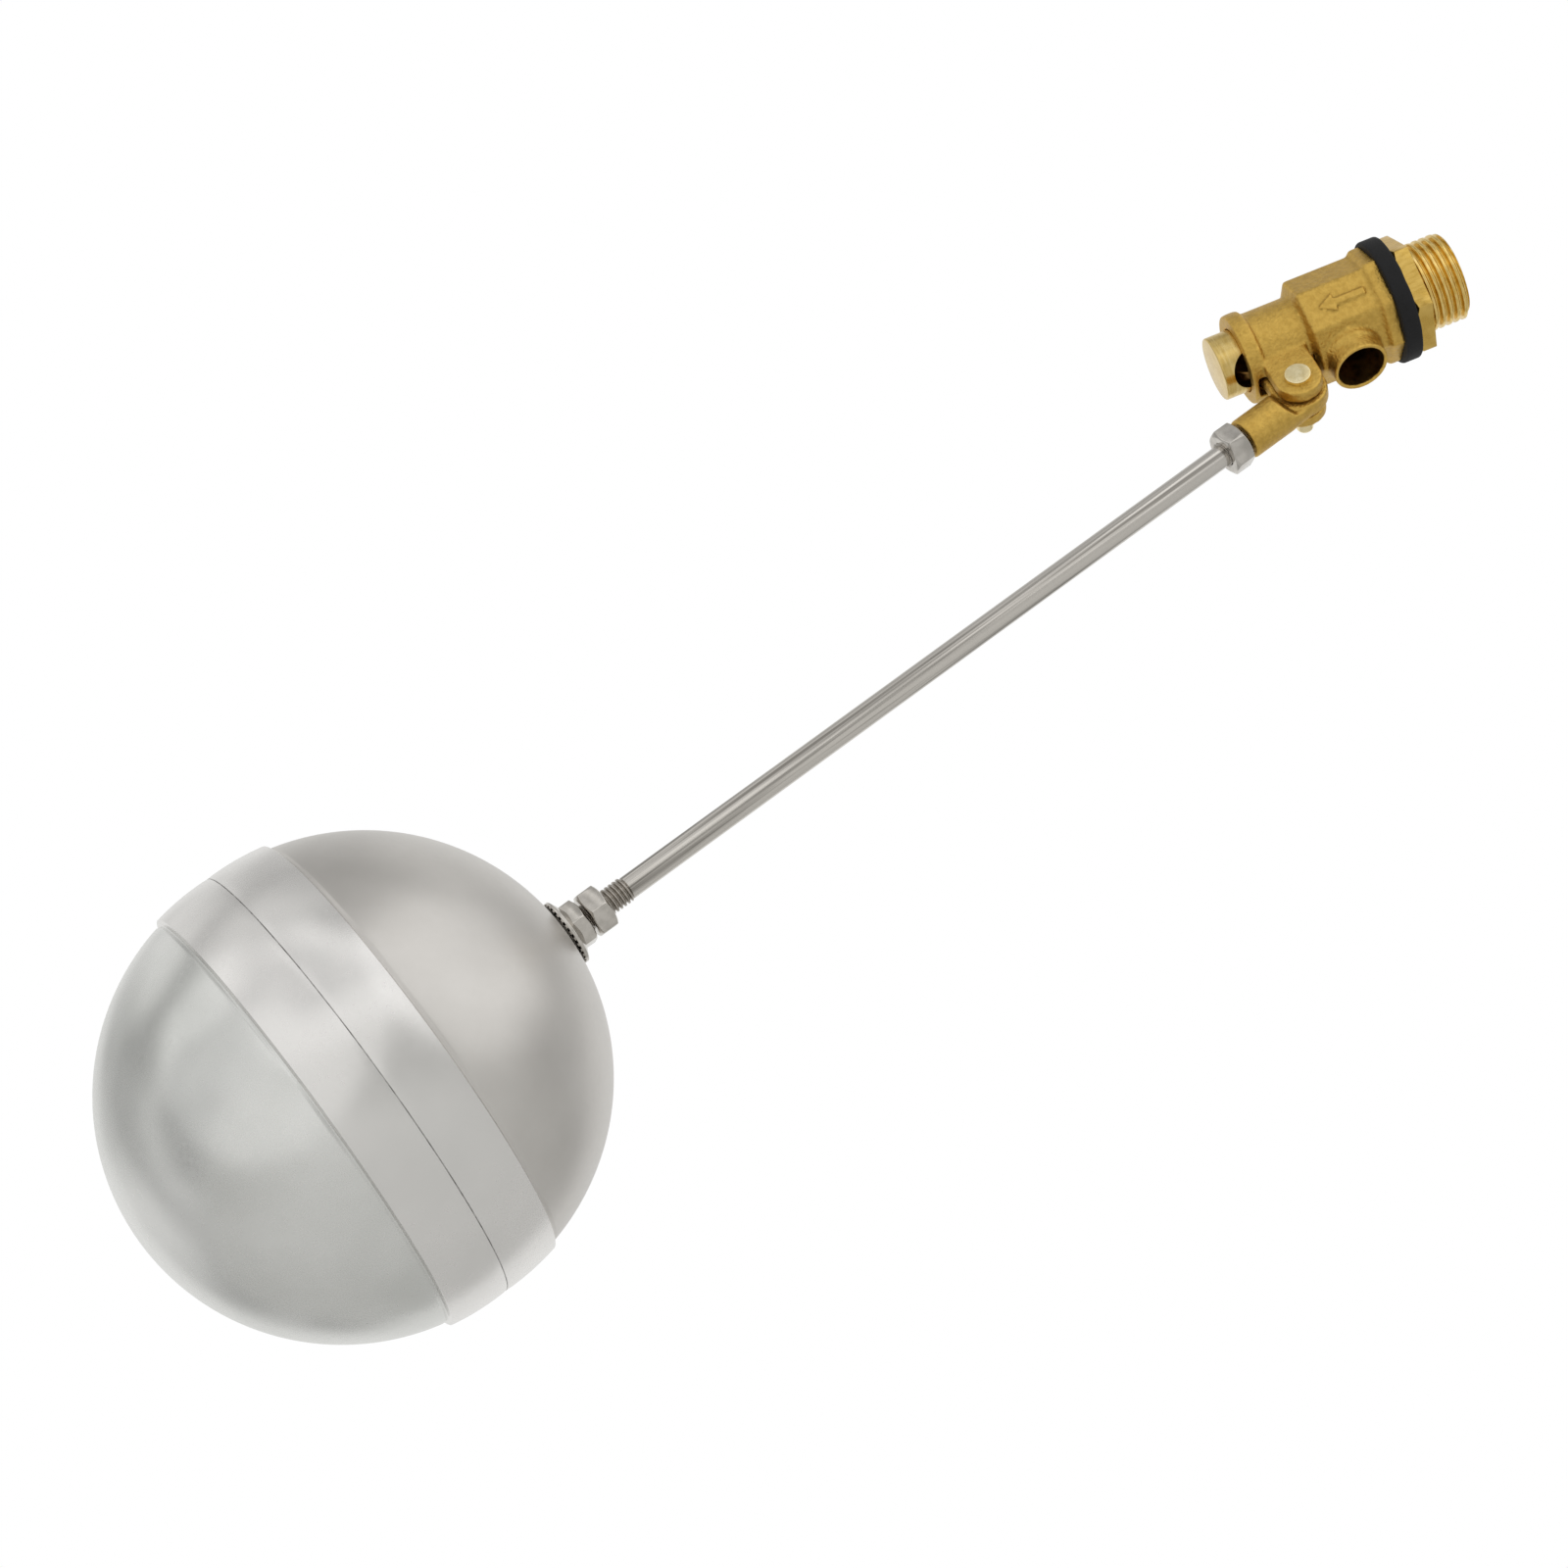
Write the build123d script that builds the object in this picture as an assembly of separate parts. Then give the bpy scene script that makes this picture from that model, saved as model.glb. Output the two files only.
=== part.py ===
from build123d import *
import math
import os

# Float valve, half-inch. Millimetres.
# Frame: X runs along the valve body, +X out of the inlet thread, -X towards the piston.
# Z is up with the valve mounted: the spout points down and the pivot pin lies along Y.
# The origin is on the thread's axis, on the flange face that the washer seals against.

# ---- inlet thread, nut and washer ----
THREAD_R = 10.4775
THREAD_END = 18.0
THREAD_UNDER_NUT_R = 10.3
THREAD_CHAMFER = 0.7
INLET_BORE_R = 7.5
WASHER_T = 4.2
WASHER_R = 14.8
WASHER_EDGE = 0.5
NUT_T = 3.85
NUT_FLATS = 24.8
NUT_CHAMFER = 0.6
OVERRUN = 1.0  # how far a cut runs past the face that it leaves through

# ---- cast body, stations along X ----
FLANGE_BACK = -2.6
MID_START = -3.5
MID_END = -19.4
MID_FOOT = -20.4
COLLAR_START = -31.7
BODY_END = -35.5
FLANGE_OCT_R = 14.0
MID_OCT_R = 12.9
MID_FOOT_R = 10.3
BARREL_R = 9.65
COLLAR_R = 10.8
CAST_EDGE = 0.8
COLLAR_EDGE = 0.6
CHAMBER_R = 7.7
CHAMBER_END = -7.5

# ---- nozzle seat inside the body ----
SEAT_FACE = -9.0
SEAT_R = 4.9
ORIFICE_R = 4.0
ORIFICE_END = -4.5

# ---- spout ----
SPOUT_X = -11.75
SPOUT_R = 6.5
SPOUT_BORE_R = 5.55
SPOUT_END = -16.15
SPOUT_BORE_TOP = -5.2
SPOUT_ROOT = -2.0

# ---- ears, slot and pivot pin ----
PIN_X = -27.1
PIN_Z = -16.5
PIN_R = 2.0
PIN_HEAD_R = 3.03
PIN_HEAD_T = 1.1
PIN_HEAD_EDGE = 0.35
PIN_TAIL = 12.0
PIN_DOME = 0.7
EAR_R = 5.45
EAR_INNER = 2.5
FAR_EAR_INNER = 3.1
EAR_OUTER = 5.75
SLOT_LEFT = -34.4
SLOT_RIGHT = -19.7
SLOT_TOP = -5.0
FIT = 0.02
RUNNING = 0.05

# ---- piston and its seal ----
PISTON_R = 7.5
PISTON_END = -41.1
PISTON_SHOULDER = -18.5
PISTON_EDGE = 0.4
NOSE_R = 6.2
NOSE_END = -14.6
SEAL_R = 5.0
SEAL_BACK = -17.2
SEAL_FACE = -13.9
DRIVE_HOLE_X = -34.05
DRIVE_HOLE_R = 4.7
DRIVE_HOLE_TURN = 20.0

# ---- lever ----
ARM_SLOPE = 17.67
ARM_DROP = 1.3
HUB_R = 6.3
HUB_NEAR = 2.05
HUB_FAR = 1.6
SOCKET_R = 4.9
SHOULDER_START = 5.75
SHOULDER_SLOPE = 0.75
SOCKET_END = 18.2
SOCKET_EDGE = 0.4
SOCKET_BOTTOM = 8.5
FINGER_T = 2.5
FINGER_HALF_W = 1.3
FINGER_LEAN = 14.0
NOSE_DISC_R = 4.0
NOSE_DISC_Z = -2.0
FINGER_BASE_Z = -9.9
WEB_LEFT = -33.4
WEB_RIGHT = -30.4
WEB_TANGENT = 50.0

# ---- float rod and its nuts, distances along the arm from the pin ----
ROD_R = 3.0
SHANK_R = 2.675
SHANK_START = 24.5
SHANK_END = 192.7
ROD_END = 219.0
ROD_END_GAP = 0.5
ROD_NUT_FLATS = 10.0
ROD_NUT_CORNER = 5.6
NUT_CORNER_SPARE = 0.15
ROD_NUT_CHAMFER = 0.45
LEVER_NUT_START = 19.0
LEVER_NUT_T = 5.1
BALL_NUT_START = 198.7
BALL_NUT_T = 4.9
FLANGE_NUT_START = 204.3
FLANGE_NUT_HEX_T = 3.7
FLANGE_NUT_CONE_T = 0.9
FLANGE_NUT_RIM_T = 0.9
FLANGE_NUT_R = 7.7

# ---- float ----
FLOAT_R = 52.3
FLOAT_WALL = 0.6
SEAM_AT = 264.5
DOME_OFFSET = 2.4
DOME_MID_ANGLE = 40.0
BELT_HALF = 13.4
BELT_R = 53.3
SEAM_GAP = 0.4
BOSS_R = 5.0
BOSS_START = 209.85
BOSS_LENGTH = 13.0
BOSS_FLOOR = 1.6
HOLE_CLEARANCE = 0.05
RING_T = 0.8
RING_HALF = 5.0
RING_CLEARANCE = 0.15
WELD_DEPTH = 0.25

PIN_POINT = Vector(PIN_X, 0, PIN_Z)
ARM_ANGLE = math.radians(ARM_SLOPE)
ARM_DIR = Vector(-math.cos(ARM_ANGLE), 0, -math.sin(ARM_ANGLE))
ARM_UP = Vector(-math.sin(ARM_ANGLE), 0, math.cos(ARM_ANGLE))


def rod_x(x0, x1, radius):
    """A round bar along X between two stations."""
    return Plane.YZ.offset(x0) * extrude(Circle(radius), x1 - x0)


def rod_y(x, z, y0, y1, radius):
    """A round bar along Y between two stations."""
    plane = Plane(origin=(x, y0, z), x_dir=(1, 0, 0), z_dir=(0, 1, 0))
    return plane * extrude(Circle(radius), y1 - y0)


def arm_plane(distance):
    """Plane square to the arm's centre line, at a distance from the pin."""
    origin = PIN_POINT + ARM_DIR * distance - ARM_UP * ARM_DROP
    return Plane(origin=origin, x_dir=(0, 1, 0), z_dir=ARM_DIR)


def arm_bar(start, end, radius):
    """A round bar on the arm's centre line between two distances."""
    return arm_plane(start) * extrude(Circle(radius), end - start)


def octagon_prism(x0, x1, corner_r, taper_to=None):
    """Octagonal length of the body, a corner facing straight down."""
    start = Plane.YZ.offset(x0) * RegularPolygon(corner_r, 8)
    if taper_to is None:
        return extrude(start, x1 - x0)
    end = Plane.YZ.offset(x1) * RegularPolygon(taper_to, 8)
    return loft([start, end])


def long_edges(solid):
    """Edges of a prism that run along X."""
    return solid.edges().filter_by(Axis.X)


def cast_core():
    """Flange, middle, barrel and collar of the casting, before machining."""
    flange = octagon_prism(FLANGE_BACK, 0, FLANGE_OCT_R)
    flange = fillet(long_edges(flange), CAST_EDGE)
    shoulder = octagon_prism(FLANGE_BACK, MID_START, FLANGE_OCT_R, MID_OCT_R)
    middle = octagon_prism(MID_END, MID_START, MID_OCT_R)
    middle = fillet(long_edges(middle), CAST_EDGE)
    foot = octagon_prism(MID_END, MID_FOOT, MID_OCT_R, MID_FOOT_R)
    barrel = rod_x(BODY_END, 0, BARREL_R)
    collar = rod_x(BODY_END, COLLAR_START, COLLAR_R)
    collar = fillet(collar.edges().filter_by(GeomType.CIRCLE), COLLAR_EDGE)
    return barrel + flange + shoulder + middle + foot + collar


def ear(y0, y1):
    """One rounded ear that hangs from the barrel and holds the pin."""
    plate = rod_y(PIN_X, PIN_Z, y0, y1, EAR_R)
    root = Pos(PIN_X, (y0 + y1) / 2, PIN_Z / 2) * Box(2 * EAR_R, y1 - y0, -PIN_Z)
    return plate + root


def body_cutters():
    """Bores, spout passage, lever slot and pin hole of the body."""
    spout_floor = SPOUT_END - OVERRUN
    slot_floor = PIN_Z - 2 * EAR_R
    chamber = rod_x(BODY_END - OVERRUN, CHAMBER_END, CHAMBER_R)
    slot_y = (FAR_EAR_INNER - EAR_INNER) / 2
    slot = Box(SLOT_RIGHT - SLOT_LEFT, EAR_INNER + FAR_EAR_INNER, SLOT_TOP - slot_floor)
    return [
        rod_x(ORIFICE_END, THREAD_END + OVERRUN, INLET_BORE_R),
        rod_x(SEAT_FACE - OVERRUN, ORIFICE_END + OVERRUN, ORIFICE_R),
        chamber - rod_x(SEAT_FACE, CHAMBER_END, SEAT_R),
        Pos(SPOUT_X, 0, spout_floor) * extrude(Circle(SPOUT_BORE_R), SPOUT_BORE_TOP - spout_floor),
        Pos((SLOT_LEFT + SLOT_RIGHT) / 2, slot_y, (SLOT_TOP + slot_floor) / 2) * slot,
        rod_y(PIN_X, PIN_Z, -EAR_OUTER - OVERRUN, EAR_OUTER + OVERRUN, PIN_R + FIT),
    ]


def make_valve_body():
    """Cast body with its machined thread, bores, seat and ears."""
    thread = rod_x(WASHER_T + NUT_T, THREAD_END, THREAD_R)
    thread = chamfer(thread.edges().sort_by(Axis.X)[-1], THREAD_CHAMFER)
    covered_thread = rod_x(FLANGE_BACK, WASHER_T + NUT_T, THREAD_UNDER_NUT_R)
    spout = Pos(SPOUT_X, 0, SPOUT_END) * extrude(Circle(SPOUT_R), SPOUT_ROOT - SPOUT_END)
    ears = ear(-EAR_OUTER, -EAR_INNER) + ear(FAR_EAR_INNER, EAR_OUTER)
    solid = cast_core() + spout + ears + covered_thread + thread
    for cutter in body_cutters():
        solid = solid - cutter
    return solid


def make_sealing_washer():
    """Rubber washer between the flange and the tank wall."""
    ring = rod_x(0, WASHER_T, WASHER_R)
    ring = fillet(ring.edges(), WASHER_EDGE)
    return ring - rod_x(-OVERRUN, WASHER_T + OVERRUN, THREAD_UNDER_NUT_R + HOLE_CLEARANCE)


def hex_nut_x(x0, thickness, flats, bore_r, chamfer_size):
    """Hexagonal nut on the X axis with flats facing up and down, chamfered on one side."""
    corner = flats / math.sqrt(3)
    block = Plane.YZ.offset(x0) * extrude(RegularPolygon(corner, 6), thickness)
    tool = rod_x(x0, x0 + thickness, corner)
    tool = chamfer(tool.edges().sort_by(Axis.X)[0], chamfer_size)
    return (block & tool) - rod_x(x0 - OVERRUN, x0 + thickness + OVERRUN, bore_r)


def make_inlet_lock_nut():
    """Brass nut that clamps the tank wall against the washer."""
    return hex_nut_x(WASHER_T, NUT_T, NUT_FLATS, THREAD_UNDER_NUT_R + HOLE_CLEARANCE, NUT_CHAMFER)


def make_pivot_pin():
    """Headed pin, pressed in both ears, with a domed tail."""
    shank = rod_y(PIN_X, PIN_Z, -EAR_OUTER, PIN_TAIL, PIN_R)
    shank = fillet(shank.edges().sort_by(Axis.Y)[-1], PIN_DOME)
    head = rod_y(PIN_X, PIN_Z, -EAR_OUTER - PIN_HEAD_T, -EAR_OUTER, PIN_HEAD_R)
    head = fillet(head.edges().sort_by(Axis.Y)[0], PIN_HEAD_EDGE)
    return shank + head


def make_piston():
    """Sliding piston with a seal cup at its nose and a cross hole for the lever's finger."""
    main = rod_x(PISTON_END, PISTON_SHOULDER, PISTON_R)
    main = fillet(main.edges().sort_by(Axis.X)[0], PISTON_EDGE)
    nose = rod_x(PISTON_SHOULDER, NOSE_END, NOSE_R)
    cup = rod_x(SEAL_BACK, NOSE_END + OVERRUN, SEAL_R)
    hole = Pos(DRIVE_HOLE_X, 0, 0) * Rot(-DRIVE_HOLE_TURN, 0, 0) * Cylinder(DRIVE_HOLE_R, 4 * PISTON_R)
    return main + nose - cup - hole


def make_piston_seal():
    """Rubber disc in the piston's nose that closes the nozzle."""
    return rod_x(SEAL_BACK, SEAL_FACE, SEAL_R)


def finger_outline():
    """Finger centre line in the X-Z plane, from the nose disc down to the web."""
    lean = math.tan(math.radians(FINGER_LEAN))
    base_x = DRIVE_HOLE_X + (NOSE_DISC_Z - FINGER_BASE_Z) * lean
    return [(DRIVE_HOLE_X, NOSE_DISC_Z), (base_x, FINGER_BASE_Z)]


def xz_slab(points, y0, y1):
    """Flat plate with a polygon outline in the X-Z plane, from y0 to y1."""
    face = make_face(Polyline(*[(x, y0, z) for x, z in points], close=True))
    return extrude(face, y1 - y0, dir=(0, 1, 0))


def arm_edge(solid, first):
    """Circular edge of a bar on the arm at its near or far end."""
    ranked = solid.edges().filter_by(GeomType.CIRCLE).sort_by(Axis(PIN_POINT, ARM_DIR))
    return ranked[0] if first else ranked[-1]


def cheek_cutter(side, hub_side):
    """Wedge that thins the socket to the hub's cheek, with a sloping shoulder clear of the ears."""
    plane = Plane(origin=PIN_POINT, x_dir=ARM_DIR, z_dir=ARM_UP)
    inner = side * hub_side
    outer = side * 2 * SOCKET_R
    shoulder_end = SHOULDER_START + (2 * SOCKET_R - hub_side) * SHOULDER_SLOPE
    points = [(-SOCKET_R, inner), (SHOULDER_START, inner), (shoulder_end, outer), (-SOCKET_R, outer)]
    return extrude(plane * make_face(Polyline(*points, close=True)), 2 * SOCKET_R, both=True)


def make_lever():
    """Cast lever: hub, finger that drives the piston, and threaded socket for the rod."""
    hub = rod_y(PIN_X, PIN_Z, -HUB_NEAR, HUB_FAR, HUB_R)
    socket = arm_bar(0, SOCKET_END, SOCKET_R)
    socket = fillet(arm_edge(socket, first=False), SOCKET_EDGE)
    socket = socket - cheek_cutter(1, HUB_FAR) - cheek_cutter(-1, HUB_NEAR)
    tangent = math.radians(WEB_TANGENT)
    top, base = finger_outline()
    half_w = FINGER_HALF_W
    neck = xz_slab(
        [
            (top[0] - half_w, top[1]),
            (top[0] + half_w, top[1]),
            (base[0] + half_w, base[1] - OVERRUN),
            (base[0] - half_w, base[1] - OVERRUN),
        ],
        -FINGER_T / 2,
        FINGER_T / 2,
    )
    disc = rod_y(top[0], top[1], -FINGER_T / 2, FINGER_T / 2, NOSE_DISC_R)
    root = xz_slab(
        [
            (WEB_LEFT, FINGER_BASE_Z),
            (WEB_RIGHT, FINGER_BASE_Z),
            (PIN_X + HUB_R * math.cos(tangent), PIN_Z + HUB_R * math.sin(tangent)),
            (PIN_X - HUB_R, PIN_Z),
        ],
        -HUB_NEAR,
        HUB_FAR,
    )
    solid = hub + socket + root + neck + disc
    solid = solid - rod_y(PIN_X, PIN_Z, -HUB_NEAR - OVERRUN, HUB_FAR + OVERRUN, PIN_R + RUNNING)
    return solid - arm_bar(SOCKET_BOTTOM, SOCKET_END + OVERRUN, ROD_R + FIT)


def arm_nut(start, thickness):
    """Hexagonal rod nut, chamfered on both faces."""
    corner = ROD_NUT_FLATS / math.sqrt(3)
    block = arm_plane(start) * extrude(RegularPolygon(corner, 6), thickness)
    tool = arm_bar(start, start + thickness, ROD_NUT_CORNER + NUT_CORNER_SPARE)
    tool = chamfer(tool.edges().filter_by(GeomType.CIRCLE), ROD_NUT_CHAMFER)
    return (block & tool) - arm_bar(start - OVERRUN, start + thickness + OVERRUN, ROD_R + FIT)


def make_float_rod():
    """Rod with threads at both ends and a slimmer shank between."""
    lever_end = arm_bar(SOCKET_BOTTOM + ROD_END_GAP, SHANK_START, ROD_R)
    ball_end = arm_bar(SHANK_END, ROD_END, ROD_R)
    return lever_end + ball_end + arm_bar(SHANK_START, SHANK_END, SHANK_R)


def make_ball_flange_nut():
    """Nut with a round flange that bears on the float."""
    corner = ROD_NUT_FLATS / math.sqrt(3)
    cone_start = FLANGE_NUT_START + FLANGE_NUT_HEX_T
    rim_start = cone_start + FLANGE_NUT_CONE_T
    rim_end = rim_start + FLANGE_NUT_RIM_T
    tool = arm_bar(FLANGE_NUT_START, rim_start, ROD_NUT_CORNER + NUT_CORNER_SPARE)
    tool = chamfer(arm_edge(tool, first=True), ROD_NUT_CHAMFER)
    hexagon = RegularPolygon(corner, 6)
    block = arm_plane(FLANGE_NUT_START) * extrude(hexagon, rim_start - FLANGE_NUT_START)
    cone_top = arm_plane(cone_start) * Circle(ROD_NUT_FLATS / 2)
    cone = loft([cone_top, arm_plane(rim_start) * Circle(FLANGE_NUT_R)])
    rim = arm_bar(rim_start, rim_end, FLANGE_NUT_R)
    hole = arm_bar(FLANGE_NUT_START - OVERRUN, rim_end + OVERRUN, ROD_R + FIT)
    return (block & tool) + cone + rim - hole


def make_float_boss():
    """Blind threaded socket welded inside the float for the rod's end."""
    boss = arm_bar(BOSS_START, BOSS_START + BOSS_LENGTH, BOSS_R)
    floor = BOSS_START + BOSS_LENGTH - BOSS_FLOOR
    return boss - arm_bar(BOSS_START - OVERRUN, floor, ROD_R + FIT)


def dome_point(radius, height, side):
    """Point of a dome's profile: height along the arm from the seam, and distance from the arm."""
    rise = height - side * DOME_OFFSET
    return (math.sqrt(radius**2 - rise**2), height)


def dome_arc(radius, height_a, height_b, side):
    """Arc of a dome's profile between two heights from the seam."""
    middle = (height_a + height_b) / 2
    points = [dome_point(radius, height, side) for height in (height_a, middle, height_b)]
    return ThreePointArc(*points)


def pole_arc(radius, start_r, belt_height, side):
    """Arc of a dome's profile from a distance start_r off the arm to the belt's edge."""
    height = side * (DOME_OFFSET + math.sqrt(radius**2 - start_r**2))
    mid_angle = math.radians(DOME_MID_ANGLE)
    mid_r = radius * math.sin(mid_angle)
    mid_height = side * (DOME_OFFSET + radius * math.cos(mid_angle))
    return ThreePointArc((start_r, height), (mid_r, mid_height), dome_point(radius, belt_height, side))


def make_float_shell(side, hole_r):
    """One half of the float: a dome and its raised half of the belt. Side is -1 at the rod, +1 beyond."""
    belt_edge = side * BELT_HALF
    inner_edge = side * (BELT_HALF - FLOAT_WALL)
    seam = side * SEAM_GAP / 2
    inner_r = FLOAT_R - FLOAT_WALL
    inner_belt_r = BELT_R - FLOAT_WALL
    outer = pole_arc(FLOAT_R, hole_r, belt_edge, side)
    outer_belt = dome_arc(BELT_R, belt_edge, seam, side)
    inner = pole_arc(inner_r, hole_r, inner_edge, side)
    inner_belt = dome_arc(inner_belt_r, inner_edge, seam, side)
    lines = [
        outer,
        Line(outer @ 1, outer_belt @ 0),
        outer_belt,
        Line(outer_belt @ 1, inner_belt @ 1),
        inner_belt,
        Line(inner_belt @ 0, inner @ 1),
        inner,
        Line(inner @ 0, outer @ 0),
    ]
    return seam_location() * revolve(make_face(Wire(lines)), Axis.Y)


def seam_location():
    """Places a profile turned about Y on the arm, with its origin at the float's seam."""
    origin = PIN_POINT + ARM_DIR * SEAM_AT - ARM_UP * ARM_DROP
    return Location(Plane(origin=origin, x_dir=(0, 1, 0), z_dir=ARM_UP))


def make_seam_weld():
    """Fused bead that joins the float's halves."""
    outer_r = BELT_R - WELD_DEPTH
    inner_r = BELT_R - FLOAT_WALL
    start = SEAM_AT - SEAM_GAP / 2
    end = SEAM_AT + SEAM_GAP / 2
    return arm_bar(start, end, outer_r) - arm_bar(start - OVERRUN, end + OVERRUN, inner_r)


def make_backing_ring():
    """Thin ring inside the belt that backs the weld."""
    outer_r = BELT_R - FLOAT_WALL - RING_CLEARANCE
    start = SEAM_AT - RING_HALF
    end = SEAM_AT + RING_HALF
    return arm_bar(start, end, outer_r) - arm_bar(start - OVERRUN, end + OVERRUN, outer_r - RING_T)


def main():
    """Make every piece and write it as its own STEP file."""
    pieces = {
        "valve_body": make_valve_body(),
        "sealing_washer": make_sealing_washer(),
        "inlet_lock_nut": make_inlet_lock_nut(),
        "pivot_pin": make_pivot_pin(),
        "piston": make_piston(),
        "piston_seal_disc": make_piston_seal(),
        "lever": make_lever(),
        "lever_lock_nut": arm_nut(LEVER_NUT_START, LEVER_NUT_T),
        "float_rod": make_float_rod(),
        "ball_lock_nut": arm_nut(BALL_NUT_START, BALL_NUT_T),
        "ball_flange_nut": make_ball_flange_nut(),
        "float_boss": make_float_boss(),
        "float_shell_rod_side": make_float_shell(-1, BOSS_R + HOLE_CLEARANCE),
        "float_shell_far_side": make_float_shell(1, 0),
        "float_seam_weld": make_seam_weld(),
        "float_backing_ring": make_backing_ring(),
    }
    os.makedirs("parts", exist_ok=True)
    for name, shape in pieces.items():
        export_step(shape, f"parts/{name}.step")
        print(name, round(shape.volume, 1), "mm3")


main()
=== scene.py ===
"""Looks of a half-inch brass float valve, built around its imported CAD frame.

X runs along the valve body, out of the inlet thread; Z is up as the valve is mounted.
The arm's own frame has X along the rod, away from the pivot pin. Sizes are in millimetres.
"""
import logging
import math
from dataclasses import dataclass
from enum import Enum
from typing import Any, Callable, Iterable, Optional, Sequence

import bmesh
import bpy
from mathutils import Matrix, Vector


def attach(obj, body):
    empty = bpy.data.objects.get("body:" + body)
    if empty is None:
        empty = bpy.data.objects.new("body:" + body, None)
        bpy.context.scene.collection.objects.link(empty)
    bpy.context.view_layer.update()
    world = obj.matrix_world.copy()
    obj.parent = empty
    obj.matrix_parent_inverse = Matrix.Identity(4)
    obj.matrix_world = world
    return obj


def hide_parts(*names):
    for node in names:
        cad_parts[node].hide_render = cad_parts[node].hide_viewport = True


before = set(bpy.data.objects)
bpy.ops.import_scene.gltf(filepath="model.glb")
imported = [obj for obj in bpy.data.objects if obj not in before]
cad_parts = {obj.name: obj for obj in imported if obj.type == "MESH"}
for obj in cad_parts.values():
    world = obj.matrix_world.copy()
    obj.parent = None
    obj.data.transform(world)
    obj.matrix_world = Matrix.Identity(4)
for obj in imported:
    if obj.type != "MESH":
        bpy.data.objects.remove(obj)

LOG = logging.getLogger("float_valve")
MM = 0.001
QUARTER_TURN = math.radians(90)
Point = tuple[float, float]
Colour = tuple[float, float, float]
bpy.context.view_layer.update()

# Distances below which points are one, in metres, and a radius that counts as the axis, in millimetres.
WELD_DISTANCE = 1e-6
PIECE_WELD_DISTANCE = 1e-7
ON_AXIS = 1e-6

# The range that a noise mostly keeps to, and the octaves of a finish's grain.
NOISE_LOW = 0.3
NOISE_HIGH = 0.7
GRAIN_DETAIL = 6.0

# Edges sharper than these stay sharp, or are bevelled.
SHARP_DEGREES = 32.0
BEVEL_DEGREES = 28.0
CAST_SHARP_DEGREES = 50.0
THREAD_SHARP_DEGREES = 75.0
TREE_SHARP_DEGREES = 40.0

# Where a thread's flank leaves its valley and meets its crest, as shares of half a pitch.
THREAD_VALLEY = 0.12
THREAD_CREST = 0.72
BEAD_SIDES = 10

# How far one pass of smoothing moves the cast skin and the machined faces.
SKIN_RELAX = 0.5
MACHINED_RELAX = 0.4


class Body(Enum):
    """Bodies of the frame that pieces ride on."""

    VALVE = "valve"
    PISTON = "piston"
    ARM = "float_arm"


class Slot(Enum):
    """Material slots of the record."""

    CAST_BRASS = "cast_brass"
    TURNED_BRASS = "turned_brass"
    PIN_BRASS = "pin_brass"
    RUBBER = "black_rubber"
    NUT = "steel_nut"
    ROD = "steel_rod"
    FLOAT = "float_steel"


@dataclass(frozen=True)
class ArmFrame:
    """The arm's centre line: where the pin is, how the rod slopes, how far it passes below the pin."""

    pin_x: float = -27.1
    pin_z: float = -16.5
    slope: float = 17.67
    drop: float = 1.3

    def matrix(self) -> Matrix:
        """Works out the arm's frame.

        Returns:
            The frame in metres, X along the rod and Z on its upper side.
        """
        angle = math.radians(self.slope)
        along = Vector((-math.cos(angle), 0, -math.sin(angle)))
        up = Vector((-math.sin(angle), 0, math.cos(angle)))
        side = up.cross(along)
        origin = Vector((self.pin_x, 0, self.pin_z)) - up * self.drop
        axes = Matrix((along, side, up)).transposed().to_4x4()
        return Matrix.Translation(origin * MM) @ axes

    def pin_matrix(self) -> Matrix:
        """Returns the pin's frame in metres, X along the pin from head to tail."""
        turn = Matrix.Rotation(QUARTER_TURN, 4, "Z")
        return Matrix.Translation(Vector((self.pin_x, 0, self.pin_z)) * MM) @ turn


ARM = ArmFrame()
ON_BODY = Matrix.Identity(4)


# ---------------------------------------------------------------- finishes


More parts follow.
